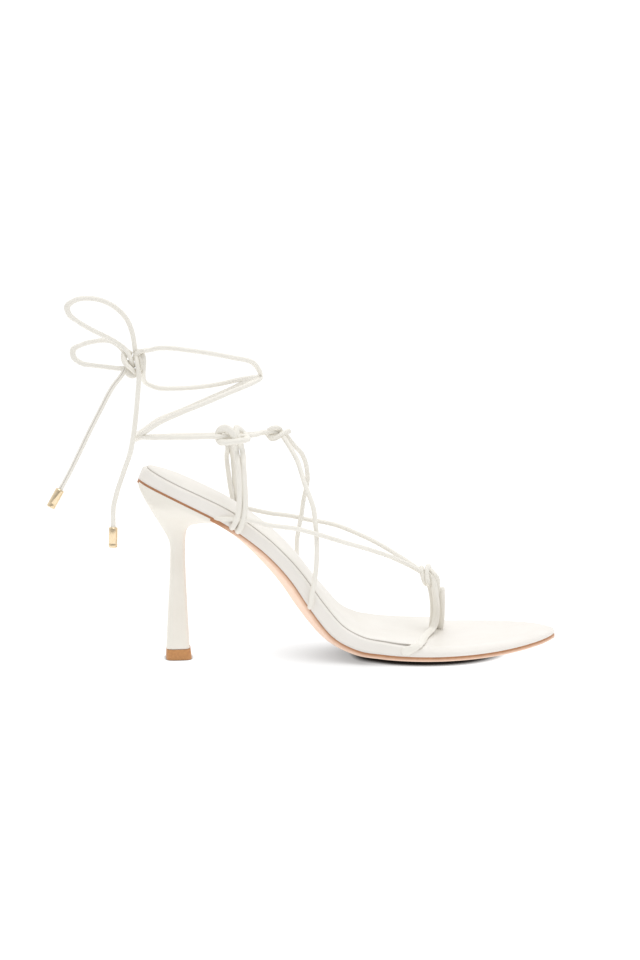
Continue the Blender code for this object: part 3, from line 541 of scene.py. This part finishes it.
def top_point(x, y, side):
    """Point of the footbed's top, which rounds off towards its outline."""
    reach, depth = rim_size(x)
    from_edge = (half_width(x, side) - abs(y)) / outline_slant(x, side)
    share = 1 - progress(from_edge, 0.0, RIM_SOFT * reach)
    drop = 1 - (1 - share**RIM_POWER) ** (1 / RIM_POWER)
    return sole_point(x, y, column(SOLE, "thick", x) - depth * drop)


def in_frame(point):
    return Vector((point[0] - HEEL_TIP_X, point[1], point[2])) * MM


def spread(start, end, count):
    return [start + (end - start) * k / (count - 1) for k in range(count)]


# Camera, light and floor


def make_camera():
    data = bpy.data.cameras.new("camera")
    data.lens = CAMERA_LENS
    data.sensor_fit = "VERTICAL"
    data.sensor_height = 36.0
    camera = bpy.data.objects.new("camera", data)
    bpy.context.scene.collection.objects.link(camera)
    a, b = math.radians(CAMERA_YAW), math.radians(CAMERA_PITCH)
    away = Vector((-math.sin(a) * math.cos(b), -math.cos(a) * math.cos(b), math.sin(b)))
    camera.location = AIM + away * CAMERA_DISTANCE
    turn = (-away).to_track_quat("-Z", "Y")
    camera.rotation_mode = "QUATERNION"
    camera.rotation_quaternion = turn @ Quaternion((0, 0, 1), math.radians(CAMERA_ROLL))
    bpy.context.scene.camera = camera


def area_light(name, place, aim, size, power):
    data = bpy.data.lights.new(name, "AREA")
    data.shape = "DISK"
    data.size = size
    data.energy = power
    light = bpy.data.objects.new(name, data)
    bpy.context.scene.collection.objects.link(light)
    light.location = place
    light.rotation_mode = "QUATERNION"
    light.rotation_quaternion = (Vector(aim) - Vector(place)).to_track_quat("-Z", "Y")
    return light


def make_world():
    """White all round, brighter overhead and behind the shoe than on the camera's side."""
    world = bpy.data.worlds.new("studio")
    bpy.context.scene.world = world
    world.use_nodes = True
    nodes, links = world.node_tree.nodes, world.node_tree.links
    background = nodes["Background"]
    background.inputs["Color"].default_value = (1.0, 1.0, 1.0, 1)
    place = nodes.new("ShaderNodeTexCoord")
    tilt = add_node(nodes, "ShaderNodeVectorMath", operation="DOT_PRODUCT")
    tilt.inputs[1].default_value = WORLD_TILT
    links.new(place.outputs["Generated"], tilt.inputs[0])
    level = add_node(nodes, "ShaderNodeMath", operation="ADD")
    level.inputs[1].default_value = WORLD_LEVEL
    links.new(tilt.outputs["Value"], level.inputs[0])
    links.new(level.outputs["Value"], background.inputs["Strength"])


def floor_glow(nodes, links, middle):
    """The floor's own light: dark in a thin line at the shoe, and softly shaded under its waist."""

    def product(first, second):
        node = add_node(nodes, "ShaderNodeMath", operation="MULTIPLY")
        links.new(first, node.inputs[0])
        links.new(second, node.inputs[1])
        return node.outputs["Value"]

    place = nodes.new("ShaderNodeTexCoord")
    split = nodes.new("ShaderNodeSeparateXYZ")
    links.new(place.outputs["Object"], split.inputs["Vector"])
    weights = []
    for (start, end), low, high in ((WAIST_FROM, 0.0, WAIST_DARK), (WAIST_TO, 1.0, 0.0)):
        weight = remap(nodes, low, high, start - middle, end - middle)
        links.new(split.outputs["X"], weight.inputs["Value"])
        weights.append(weight.outputs["Result"])
    wide = add_node(nodes, "ShaderNodeAmbientOcclusion", Distance=WAIST_SHADE, samples=SHADE_SAMPLES)
    hidden = remap(nodes, 1.0, 0.0)
    links.new(wide.outputs["AO"], hidden.inputs["Value"])
    lit = remap(nodes, FLOOR_GLOW, 0.0)
    links.new(product(product(*weights), hidden.outputs["Result"]), lit.inputs["Value"])
    near = add_node(nodes, "ShaderNodeAmbientOcclusion", Distance=FLOOR_SHADE, samples=SHADE_SAMPLES)
    line = remap(nodes, 0.0, 1.0, *FLOOR_LINE)
    links.new(near.outputs["AO"], line.inputs["Value"])
    return product(lit.outputs["Result"], line.outputs["Result"])


def make_studio():
    scene = bpy.context.scene
    scene.view_settings.view_transform = "Standard"
    make_world()
    area_light("key", *KEY_LIGHT)
    mesh = bmesh.new()
    bmesh.ops.create_circle(mesh, cap_ends=True, segments=96, radius=FLOOR_RADIUS)
    data = bpy.data.meshes.new("floor")
    mesh.to_mesh(data)
    mesh.free()
    floor = bpy.data.objects.new("floor", data)
    scene.collection.objects.link(floor)
    floor.location = FLOOR_PLACE
    material, nodes, links, shader = new_material("floor")
    shader.inputs["Base Color"].default_value = (FLOOR_TONE, FLOOR_TONE, FLOOR_TONE, 1)
    shader.inputs["Emission Color"].default_value = (1.0, 1.0, 1.0, 1)
    links.new(floor_glow(nodes, links, floor.location.x), shader.inputs["Emission Strength"])
    shader.inputs["Roughness"].default_value = 0.9
    shader.inputs["Specular IOR Level"].default_value = 0.0
    floor.data.materials.append(material)
    only_floor = bpy.data.collections.new("lit_floor")
    only_floor.objects.link(floor)
    wash = area_light("floor_wash", *FLOOR_LIGHT)
    wash.light_linking.receiver_collection = only_floor


# Materials


def new_material(name):
    material = bpy.data.materials.new(name)
    material.use_nodes = True
    tree = material.node_tree
    return material, tree.nodes, tree.links, tree.nodes["Principled BSDF"]


def add_node(nodes, kind, **values):
    node = nodes.new(kind)
    for name, value in values.items():
        if name in node.inputs:
            node.inputs[name].default_value = value
        else:
            setattr(node, name, value)
    return node


def ramp_between(nodes, low, high, first, second):
    ramp = nodes.new("ShaderNodeValToRGB")
    ramp.color_ramp.elements[0].position = low
    ramp.color_ramp.elements[1].position = high
    ramp.color_ramp.elements[0].color = (*first, 1)
    ramp.color_ramp.elements[1].color = (*second, 1)
    return ramp


def remap(nodes, low, high, start=0.0, end=1.0):
    node = nodes.new("ShaderNodeMapRange")
    for name, value in (("From Min", start), ("From Max", end), ("To Min", low), ("To Max", high)):
        node.inputs[name].default_value = value
    return node


def noise(nodes, links, **values):
    """Noise fixed to the object, as the output that holds its value."""
    place = nodes.new("ShaderNodeTexCoord")
    made = add_node(nodes, "ShaderNodeTexNoise", **values)
    links.new(place.outputs["Object"], made.inputs["Vector"])
    return made.outputs["Fac"]


def roughen(nodes, links, shader, value, low, high):
    between = remap(nodes, low, high)
    links.new(value, between.inputs["Value"])
    links.new(between.outputs["Result"], shader.inputs["Roughness"])


def emboss(nodes, links, shader, height, strength, depth):
    bump = add_node(nodes, "ShaderNodeBump", Strength=strength, Distance=depth)
    links.new(height, bump.inputs["Height"])
    links.new(bump.outputs["Normal"], shader.inputs["Normal"])


def mix_at_edge(nodes, links):
    """Mix of colours A and B that turns from A to B where the edge attribute is 1."""
    mask = add_node(nodes, "ShaderNodeAttribute", attribute_name="edge")
    mix = add_node(nodes, "ShaderNodeMix", data_type="RGBA")
    links.new(mask.outputs["Fac"], mix.inputs["Factor"])
    return mix


def leather(name, light, dark, rough, pore=1500.0, grain=0.2, coat=0.0, line=None):
    """Smooth leather: soft patches of tone, fine pores and slightly uneven gloss. A line colour, painted
    shade for a seam, shows where the edge attribute is 1."""
    material, nodes, links, shader = new_material(name)
    ramp = ramp_between(nodes, 0.3, 0.72, dark, light)
    links.new(noise(nodes, links, Scale=55.0, Detail=4.0, Roughness=0.6), ramp.inputs["Fac"])
    colour = ramp.outputs["Color"]
    if line:
        mix = mix_at_edge(nodes, links)
        links.new(colour, mix.inputs["A"])
        mix.inputs["B"].default_value = (*line, 1)
        colour = mix.outputs["Result"]
    links.new(colour, shader.inputs["Base Color"])
    gloss = noise(nodes, links, Scale=420.0, Detail=3.0)
    roughen(nodes, links, shader, gloss, rough - 0.06, rough + 0.06)
    place = nodes.new("ShaderNodeTexCoord")
    cells = add_node(nodes, "ShaderNodeTexVoronoi", feature="SMOOTH_F1", Scale=pore)
    links.new(place.outputs["Object"], cells.inputs["Vector"])
    mixed = add_node(nodes, "ShaderNodeMath", operation="MULTIPLY_ADD")
    mixed.inputs[1].default_value = 0.6
    links.new(cells.outputs["Distance"], mixed.inputs[0])
    links.new(noise(nodes, links, Scale=pore * 1.7, Detail=3.0), mixed.inputs[2])
    emboss(nodes, links, shader, mixed.outputs["Value"], grain, 0.00004)
    shader.inputs["Specular IOR Level"].default_value = 0.4
    shader.inputs["Coat Weight"].default_value = coat
    shader.inputs["Coat Roughness"].default_value = 0.3
    return material


def sole_leather():
    """Natural tan leather below, with a burnished brown edge where the edge attribute is 1."""
    material, nodes, links, shader = new_material("sole_leather_fine")
    fibre = noise(nodes, links, Scale=260.0, Detail=6.0, Roughness=0.7)
    below = ramp_between(nodes, 0.3, 0.7, (0.95, 0.67, 0.52), (0.98, 0.75, 0.60))
    edge = ramp_between(nodes, 0.25, 0.75, (0.38, 0.165, 0.075), (0.54, 0.26, 0.127))
    mix = mix_at_edge(nodes, links)
    for ramp, socket in ((below, "A"), (edge, "B")):
        links.new(fibre, ramp.inputs["Fac"])
        links.new(ramp.outputs["Color"], mix.inputs[socket])
    links.new(mix.outputs["Result"], shader.inputs["Base Color"])
    roughen(nodes, links, shader, fibre, 0.48, 0.66)
    emboss(nodes, links, shader, fibre, 0.3, 0.00008)
    shader.inputs["Specular IOR Level"].default_value = 0.3
    return material


def tip_rubber():
    material, nodes, links, shader = new_material("heel_tip_fine")
    speck = noise(nodes, links, Scale=900.0, Detail=4.0)
    ramp = ramp_between(nodes, 0.3, 0.7, (0.47, 0.212, 0.072), (0.565, 0.27, 0.096))
    links.new(speck, ramp.inputs["Fac"])
    links.new(ramp.outputs["Color"], shader.inputs["Base Color"])
    roughen(nodes, links, shader, speck, 0.42, 0.6)
    emboss(nodes, links, shader, speck, 0.2, 0.00005)
    return material


def gold():
    material, nodes, links, shader = new_material("gold_fine")
    smear = noise(nodes, links, Scale=700.0, Detail=3.0)
    ramp = ramp_between(nodes, 0.3, 0.7, (0.77, 0.62, 0.405), (0.85, 0.70, 0.495))
    links.new(smear, ramp.inputs["Fac"])
    links.new(ramp.outputs["Color"], shader.inputs["Base Color"])
    roughen(nodes, links, shader, smear, 0.16, 0.27)
    shader.inputs["Metallic"].default_value = 1.0
    return material


# Meshes


def add_piece(name, mesh, material, slot, *nodes):
    bmesh.ops.recalc_face_normals(mesh, faces=mesh.faces)
    data = bpy.data.meshes.new(name)
    mesh.to_mesh(data)
    mesh.free()
    data.materials.append(material)
    data.shade_smooth()
    piece = bpy.data.objects.new(name, data)
    bpy.context.scene.collection.objects.link(piece)
    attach(piece, "root")
    if nodes:
        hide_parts(*nodes)
    return piece


def mark_edge(piece, marks, rest):
    """Edge attribute: one value for each point of the rings, and one for the points that close the ends."""
    attribute = piece.data.attributes.new("edge", "FLOAT", "POINT")
    attribute.data.foreach_set("value", marks + [rest] * (len(piece.data.vertices) - len(marks)))


def loft(rings):
    """Closed mesh through rings of equally many points."""
    mesh = bmesh.new()
    rows = [[mesh.verts.new(in_frame(p)) for p in ring] for ring in rings]
    count = len(rows[0])
    for low, high in zip(rows, rows[1:]):
        for k in range(count):
            mesh.faces.new((low[k], low[(k + 1) % count], high[(k + 1) % count], high[k]))
    for ring in (rows[0], rows[-1]):
        centre = mesh.verts.new(sum((v.co for v in ring), Vector()) / count)
        for k in range(count):
            mesh.faces.new((ring[k], ring[(k + 1) % count], centre))
    return mesh


def bends(points, tangents):
    """How sharply the cord bends at each point, in radians for each millimetre, and towards which side."""
    raw = []
    for k in range(len(points)):
        low, high = max(k - 1, 0), min(k + 1, len(points) - 1)
        raw.append((tangents[high] - tangents[low]) / max((points[high] - points[low]).length, 1e-6))
    span = round(BEND_SPAN / FINE_STEP)
    made = []
    for k in range(len(raw)):
        near = raw[max(0, k - span):k + span + 1]
        made.append(sum(near, Vector()) / len(near))
    return made


def cord_mesh(points, diameter=CORD, seam=SEAM_USUAL, press=None, thicker=None):
    """Rolled leather cord: a round section with a fine lengthwise seam, slightly uneven as rolled by hand.
    It flattens and widens where it bends sharply, and where press gives a side with shares of its thickness
    and width there."""
    tangents = []
    for k in range(len(points)):
        ahead, behind = points[min(k + 1, len(points) - 1)], points[max(k - 1, 0)]
        tangents.append((ahead - behind).normalized())
    turns = bends(points, tangents)
    normal = Vector((0, -1, 0))
    normal = (normal - tangents[0] * normal.dot(tangents[0])).normalized()
    rings = []
    along = 0.0
    for k, point in enumerate(points):
        if k:
            turn = tangents[k - 1].rotation_difference(tangents[k])
            normal = turn @ normal
            normal = (normal - tangents[k] * normal.dot(tangents[k])).normalized()
            along += (point - points[k - 1]).length
        third = tangents[k].cross(normal)
        uneven = 1 + sum(share * math.sin(along / length + start) for share, length, start in UNEVEN)
        uneven *= thicker(point) if thicker else 1.0
        near_end = min(k, len(points) - 1 - k)
        uneven *= CORD_ENDS[near_end] if near_end < len(CORD_ENDS) else 1.0
        bend = min(BEND_MOST, BEND_SHARE * turns[k].length)
        inward = turns[k].normalized()
        side, thin, wide = press(point) if press else (normal, 1.0, 1.0)
        ring = []
        for j in range(CORD_SIDES):
            angle = 2 * math.pi * j / CORD_SIDES
            off = (math.degrees(angle) - seam + 180) % 360 - 180
            groove = SEAM_DEPTH * math.exp(-((off / SEAM_SPREAD) ** 2))
            radius = diameter / 2 * uneven * (1 - groove)
            out = (normal * math.cos(angle) + third * math.sin(angle)) * radius
            out = out * (1 - bend / 2) + inward * inward.dot(out) * 1.5 * bend
            out = out * wide + side * side.dot(out) * (thin - wide)
            ring.append(point + out)
        rings.append(ring)
    return loft(rings)


def across(x, share, inset=0.0):
    return share * half_width(x, share, inset)


def insole_half_width(x, side):
    tip_x, tip_y = INSOLE_TIP
    shoulder_x = INSOLE_SHOULDER_X[side]
    half = half_width(x, side, INSOLE_INSET)
    if x <= shoulder_x:
        return half
    shoulder = half_width(shoulder_x, side, INSOLE_INSET)
    share = (x - shoulder_x) / (tip_x - shoulder_x)
    return min(half, shoulder + (side * tip_y - shoulder) * share)


def make_footbed(material):
    """Leather-covered footbed, rounded softly all round its upper edge."""
    rings = []
    arc = [math.pi / 2 * k / 10 for k in range(11)]
    for x in fine_stations(FOOTBED_ENDS, LENGTH - FOOTBED_ENDS):
        thick = column(SOLE, "thick", x)
        reach, depth = rim_size(x)
        ring = [sole_point(x, across(x, share), 0) for share in spread(-1, 1, 17)]
        rims, ends = {}, {}
        for side in (LATERAL, MEDIAL):
            edge = half_width(x, side)
            inward = min(RIM_SOFT * reach * outline_slant(x, side), RIM_MOST * edge)
            wall = [sole_point(x, side * edge, h) for h in spread(0, thick - depth, 5)[1:-1]]
            rims[side] = wall + [top_point(x, side * (edge - inward * (1 - math.cos(t))), side) for t in arc]
            ends[side] = side * (edge - inward)
        places = spread(ends[MEDIAL], ends[LATERAL], 49)[1:-1]
        top = [top_point(x, y, MEDIAL if y > 0 else LATERAL) for y in places]
        rings.append(ring + rims[MEDIAL] + top + rims[LATERAL][::-1])
    return add_piece("footbed_cover", loft(rings), material, "leather", "footbed")


def make_insole(material):
    """Padded insole, with a fine dark line of painted shade where it meets the footbed."""
    rings, marks = [], []
    start, end = INSOLE_INSET + 0.05, INSOLE_TIP[0] - 3 * GAP
    for x in fine_stations(start, end):
        base = column(SOLE, "thick", x)
        lateral, medial = -insole_half_width(x, LATERAL), insole_half_width(x, MEDIAL)
        back, ahead = progress(x - start, 0.0, PAD_EASE[0]), progress(end - x, 0.0, PAD_EASE[1])
        rise = (GAP + INSOLE_EDGE) * (FRONT_RISE + (1 - FRONT_RISE) * ahead)
        padding = column(SOLE, "pad", x) * math.sqrt(back) * ahead
        low, high = [], []
        for u in spread(-1, 1, 41):
            share = math.sin(u * math.pi / 2)
            y = lateral + (medial - lateral) * (share + 1) / 2
            pad = padding * (1 - abs(share) ** PAD_POWER)
            low.append(sole_point(x, y, base - INSOLE_SINK))
            high.append(sole_point(x, y, base + rise + pad))
        # the pad's side takes the line colour up to the seam's height: painted shade of the gap at the
        # footbed
        near, far = ([sole_point(x, y, base + height) for height in SEAM_SHADE_LINE] for y in (lateral, medial))
        rings.append(low + far + high[::-1] + near[::-1])
        marks += [1.0] * len(low) + [1.0, 0.0] + [0.0] * len(high) + [0.0, 1.0]
    piece = add_piece("insole_pad", loft(rings), material, "insole_leather", "insole")
    mark_edge(piece, marks, 0.0)
    return piece


def outsole_point(x, share, depth, inset):
    y = across(x, share, GAP)
    point = sole_point(x, math.copysign(max(0.0, abs(y) - inset), y), -depth)
    point.z = max(0.0, point.z)
    return point


def make_outsole(material):
    """Outsole with a crowned underside. Its side is brown at the heel and has a brown line ahead of it."""
    rings, marks = [], []
    for x in fine_stations(OUTSOLE_ENDS, LENGTH - OUTSOLE_ENDS):
        crown = max(0.0, column(SOLE, "crown", x))
        pale, broad = progress(x, *PALE_FROM), progress(x, *BROAD_FROM)
        side = []
        for row in EDGE_ROWS:
            brown = row.waist + (row.ball - row.waist) * broad
            side.append((row.depth, row.inset, 1 - (1 - brown) * pale))
        spots = [(share, 0.0, 0.0, 1.0) for share in spread(-1, 1, 17)]
        spots += [(1.0, *spot) for spot in side]
        for share in spread(1, -1, 33):
            depth = GAP + OUTSOLE_EDGE + crown * (1 - share**2)
            spots.append((share, depth, OUTSOLE_BEVEL if abs(share) == 1 else 0.0, 0.0))
        spots += [(-1.0, *spot) for spot in side[::-1]]
        rings.append([outsole_point(x, share, depth, inset) for share, depth, inset, _ in spots])
        marks += [brown for *_, brown in spots]
    piece = add_piece("outsole_layer", loft(rings), material, "sole_leather", "outsole")
    mark_edge(piece, marks, 1.0)
    return piece


def section_shape(sides):
    shape = []
    for k in range(sides):
        angle = 2 * math.pi * k / sides
        along, aside = math.cos(angle), math.sin(angle)
        power = FRONT_POWER if along > 0 else BACK_POWER
        along = math.copysign(abs(along) ** power, along) if abs(along) > 1e-6 else 0.0
        aside = math.copysign(abs(aside) ** SIDE_POWER, aside) if abs(aside) > 1e-6 else 0.0
        shape.append((along, aside))
    return shape


def heel_ring(row, size=1.0):
    back = Vector((row.back_x, 0, row.back_z))
    front = Vector((row.front_x, 0, row.front_z))
    middle, reach = (back + front) / 2, (front - back) / 2 * size
    return [middle + reach * a + Vector((0, row.half * size * b, 0)) for a, b in section_shape(HEEL_SIDES)]


def seat_ring(depth):
    """Ring of the heel cover below the footbed, no wider than the sole there."""
    back, front, half = HEEL_SEAT
    ring = []
    for along, aside in section_shape(HEEL_SIDES):
        x = (back + front) / 2 + (front - back) / 2 * along
        reach = min(abs(half * aside), half_width(x, aside, -SEAT_OVERHANG))
        ring.append(sole_point(x, math.copysign(reach, aside), -depth))
    return ring


def make_heel(material):
    rows = [seat_ring(depth) for depth in SEAT_DEPTHS] + [heel_ring(row) for row in HEEL]
    places = distances([sum(row, Vector()) / HEEL_SIDES for row in rows])
    rings = []
    for place in spread(0.0, places[-1], HEEL_RINGS):
        rings.append([curve_point(places, line, place) for line in zip(*rows)])
    add_piece("heel_cover", loft(rings), material, "leather", "heel")


def make_heel_tip(material):
    rings = []
    for share, size in HEEL_TIP_SHAPE:
        row = HeelRow(*(top * (1 - share) + low * share for top, low in zip(*HEEL_TIP)))
        rings.append(heel_ring(row, size))
    tip = add_piece("heel_tip_block", loft(rings), material, "heel_tip", "heel_tip")
    tip.data.set_sharp_from_angle(angle=SHARP_ANGLE)


def toe_strap_route(side):
    strap = TOE_STRAPS[side]
    lying = GAP + CORD / 2
    route = [Vector(p) for p in strap.drop]
    route += [on_footbed(x, y, lying + above) for x, y, above in strap.lying]
    reach, depth = rim_size(strap.edge_x)
    height = lying - TOE_STRAP_SINK
    out = half_width(strap.edge_x, side) + CORNER * height - (1 - CORNER) * reach
    up = column(SOLE, "thick", strap.edge_x) + CORNER * height - (1 - CORNER) * depth
    route.append(sole_point(strap.edge_x, side * out, up))
    for share, along in TUCKS:
        x = strap.edge_x + (strap.end_x - strap.edge_x) * along
        route.append(sole_point(x, side * (half_width(x, side) + height), share * column(SOLE, "thick", x)))
    out, up = TOE_STRAP_END
    route.append(sole_point(strap.end_x, side * (half_width(strap.end_x, side) + out), up))
    return route


def flattened(side, shares, amount):
    """What cord_mesh needs to press a cord flat towards a side by an amount from 0 to 1."""
    thinner, wider = shares
    return side, 1 - thinner * amount, 1 + wider * amount


def lying_flat(point):
    """A toe strap is pressed flat where it lies on the footbed and over its edge."""
    side = MEDIAL if point.y > 0 else LATERAL
    surface = on_footbed(point.x, max(min(point.y, LYING_REACH), -LYING_REACH), 0.0).z
    turn = progress(abs(point.y) - half_width(point.x, side), *LYING_TURN) * math.pi / 2
    facing = Vector((0, side * math.sin(turn), math.cos(turn)))
    return flattened(facing, LYING, progress(point.z - surface, *LYING_FROM))


def strap_route(strap):
    route = [on_last(x, z, strap.side, over) for x, z, over in strap.route]
    return eased(flow(route, CORD_STEP))


def pressed_below(height, fade=PRESS_FADE):
    """The lower end of a strap is pressed flat against the footbed's side."""
    return lambda point: flattened(Vector((0, 1, 0)), PRESSED, progress(height - point.z, 0.0, fade))


def thicker_in_hitch(point):
    return 1 + HITCH_MORE * progress(point.z, *HITCH_FROM)


def far_hitch():
    (near_x, near_z), (far_x, far_z) = HITCH_MIDDLE, FAR_HITCH_MIDDLE
    long, wide, high = FAR_HITCH_SHARES
    return [(far_x + (x - near_x) * long, -y * wide, far_z + (z - near_z) * high) for x, y, z in STAY_HITCH]


def make_straps(material):
    def add(name, route, **more):
        mesh = cord_mesh(flow(route, FINE_STEP), **more)
        add_piece(name, mesh, material, "cord_leather", "upper_straps")

    for name, strap in STRAPS.items():
        route = strap_route(strap)
        if "long" in name:
            ahead, up = LONG_STRAP_END
            route.append(Vector(TOE_KNOT) + Vector((ahead, strap.side * CORD_SPREAD, up)))
            add(name + "_strap", [Vector(strap.tail)] + route)
        else:
            route.insert(0, Vector(FRONT_KNOT) + Vector(CROSS_STRAP_START[strap.side]))
            route.append(Vector(strap.tail))
            add(name + "_strap", route, seam=SEAM_BEHIND, press=pressed_below(strap.route[-3][1]))
    for side, word, hitch in ((LATERAL, "lateral", STAY_HITCH), (MEDIAL, "medial", far_hitch())):
        rear, front = STAYS[side]
        route = [Vector(rear.tail)] + strap_route(rear) + [Vector(p) for p in hitch]
        route += strap_route(front)[::-1] + [Vector(front.tail)]
        add(
            word + "_stays",
            route,
            diameter=STAY_CORD[side],
            seam=SEAM_BEHIND,
            press=pressed_below(*STAY_PRESS),
            thicker=thicker_in_hitch,
        )
        wide = KNOT_CORD["toe_post"] if side == LATERAL else CORD
        add(word + "_toe_strap", toe_strap_route(side), diameter=wide, press=lying_flat)
    for name, route in KNOT_ROUTES.items():
        add(name, route, diameter=KNOT_CORD[name])


def make_tie(material):
    for start, word in ((LATERAL, "lateral"), (MEDIAL, "medial")):
        route = [Vector(p) for p in TIE_START[start]]
        for stretch in TIE[start]:
            route += [on_leg(x, z, stretch.side) for x, z in stretch.route]
        route += [Vector(p) for p in TIE_END[start]]
        mesh = cord_mesh(flow(route, FINE_STEP))
        add_piece("ankle_tie_" + word, mesh, material, "cord_leather", "ankle_tie")


def cord_tip(name, cord, material):
    """Gold barrel over the end of a cord, with a rolled rim at its lower end."""
    diameter, length = CORD_TIP_SIZE
    radius = diameter / 2
    profile = [
        (0.0, 0.60), (0.0, 0.86), (0.25, 0.96), (0.6, 1.0), (length - 2.6, 1.0), (length - 2.45, 0.965),
        (length - 2.15, 0.965), (length - 2.0, 1.0), (length - 0.6, 1.0), (length - 0.22, 0.95),
        (length, 0.82),
    ]
    before, end = (Vector(p) for p in BOW[cord][-2:])
    direction = (end - before).normalized()
    side = direction.orthogonal().normalized()
    third = direction.cross(side)
    rings = []
    for along, share in profile:
        middle = end + direction * (along + GAP)
        angles = spread(0, 2 * math.pi, CORD_TIP_SIDES + 1)[:-1]
        rings.append([middle + (side * math.cos(t) + third * math.sin(t)) * radius * share for t in angles])
    piece = add_piece(name + "_barrel", loft(rings), material, "gold", name)
    piece.data.set_sharp_from_angle(angle=SHARP_ANGLE)
    return piece


def make_bow(material, gold_material):
    for name, route in BOW_KNOT.items():
        mesh = cord_mesh(flow(route, FINE_STEP), diameter=KNOT_CORD["bow_knot"])
        add_piece("bow_" + name, mesh, material, "cord_leather", "bow_knot")
    tips = {cord: cord_tip(name, cord, gold_material) for name, cord in CORD_TIPS.items()}
    for name, route in BOW.items():
        if name in tips:
            before, end = (Vector(p) for p in route[-2:])
            route = route + [tuple(end + (end - before).normalized() * CORD_IN_TIP)]
        points = flow(route, FINE_STEP)
        seam = SEAM_IN_SIGHT if name == "tie_end_long" else SEAM_USUAL
        piece = add_piece(name + "_cord", cord_mesh(points, seam=seam), material, "cord_leather", name)
        # the long tie end's seam groove takes the line colour: the groove is real, its dark line is painted
        # shade
        if name == "tie_end_long":
            seam_shade_at = round(CORD_SIDES * seam / 360.0)
            mark_edge(piece, [1.0 if j == seam_shade_at else 0.0 for _ in points for j in range(CORD_SIDES)], 0.0)


make_camera()
cord_leather = leather(
    "cord_leather_fine",
    (0.845, 0.819, 0.758),
    (0.82, 0.791, 0.725),
    0.45,
    pore=2200.0,
    grain=0.03,
    coat=0.05,
    # line colour: painted shade in the seam groove of the long tie end
    line=(0.50, 0.465, 0.42),
)
cover_leather = leather("leather_fine", (0.84, 0.81, 0.767), (0.81, 0.776, 0.725), 0.46, coat=0.05)
heel_leather = leather("heel_leather_fine", (0.85, 0.817, 0.75), (0.82, 0.782, 0.705), 0.46, coat=0.05)
lining_leather = leather(
    "insole_leather_fine",
    (0.85, 0.825, 0.78),
    (0.82, 0.79, 0.74),
    0.6,
    pore=1100.0,
    # line colour: painted shade along the insole's seam with the footbed
    line=(0.52, 0.485, 0.44),
)
make_bow(cord_leather, gold())
make_tie(cord_leather)
make_straps(cord_leather)
make_footbed(cover_leather)
make_insole(lining_leather)
make_outsole(sole_leather())
make_heel(heel_leather)
make_heel_tip(tip_rubber())
make_studio()
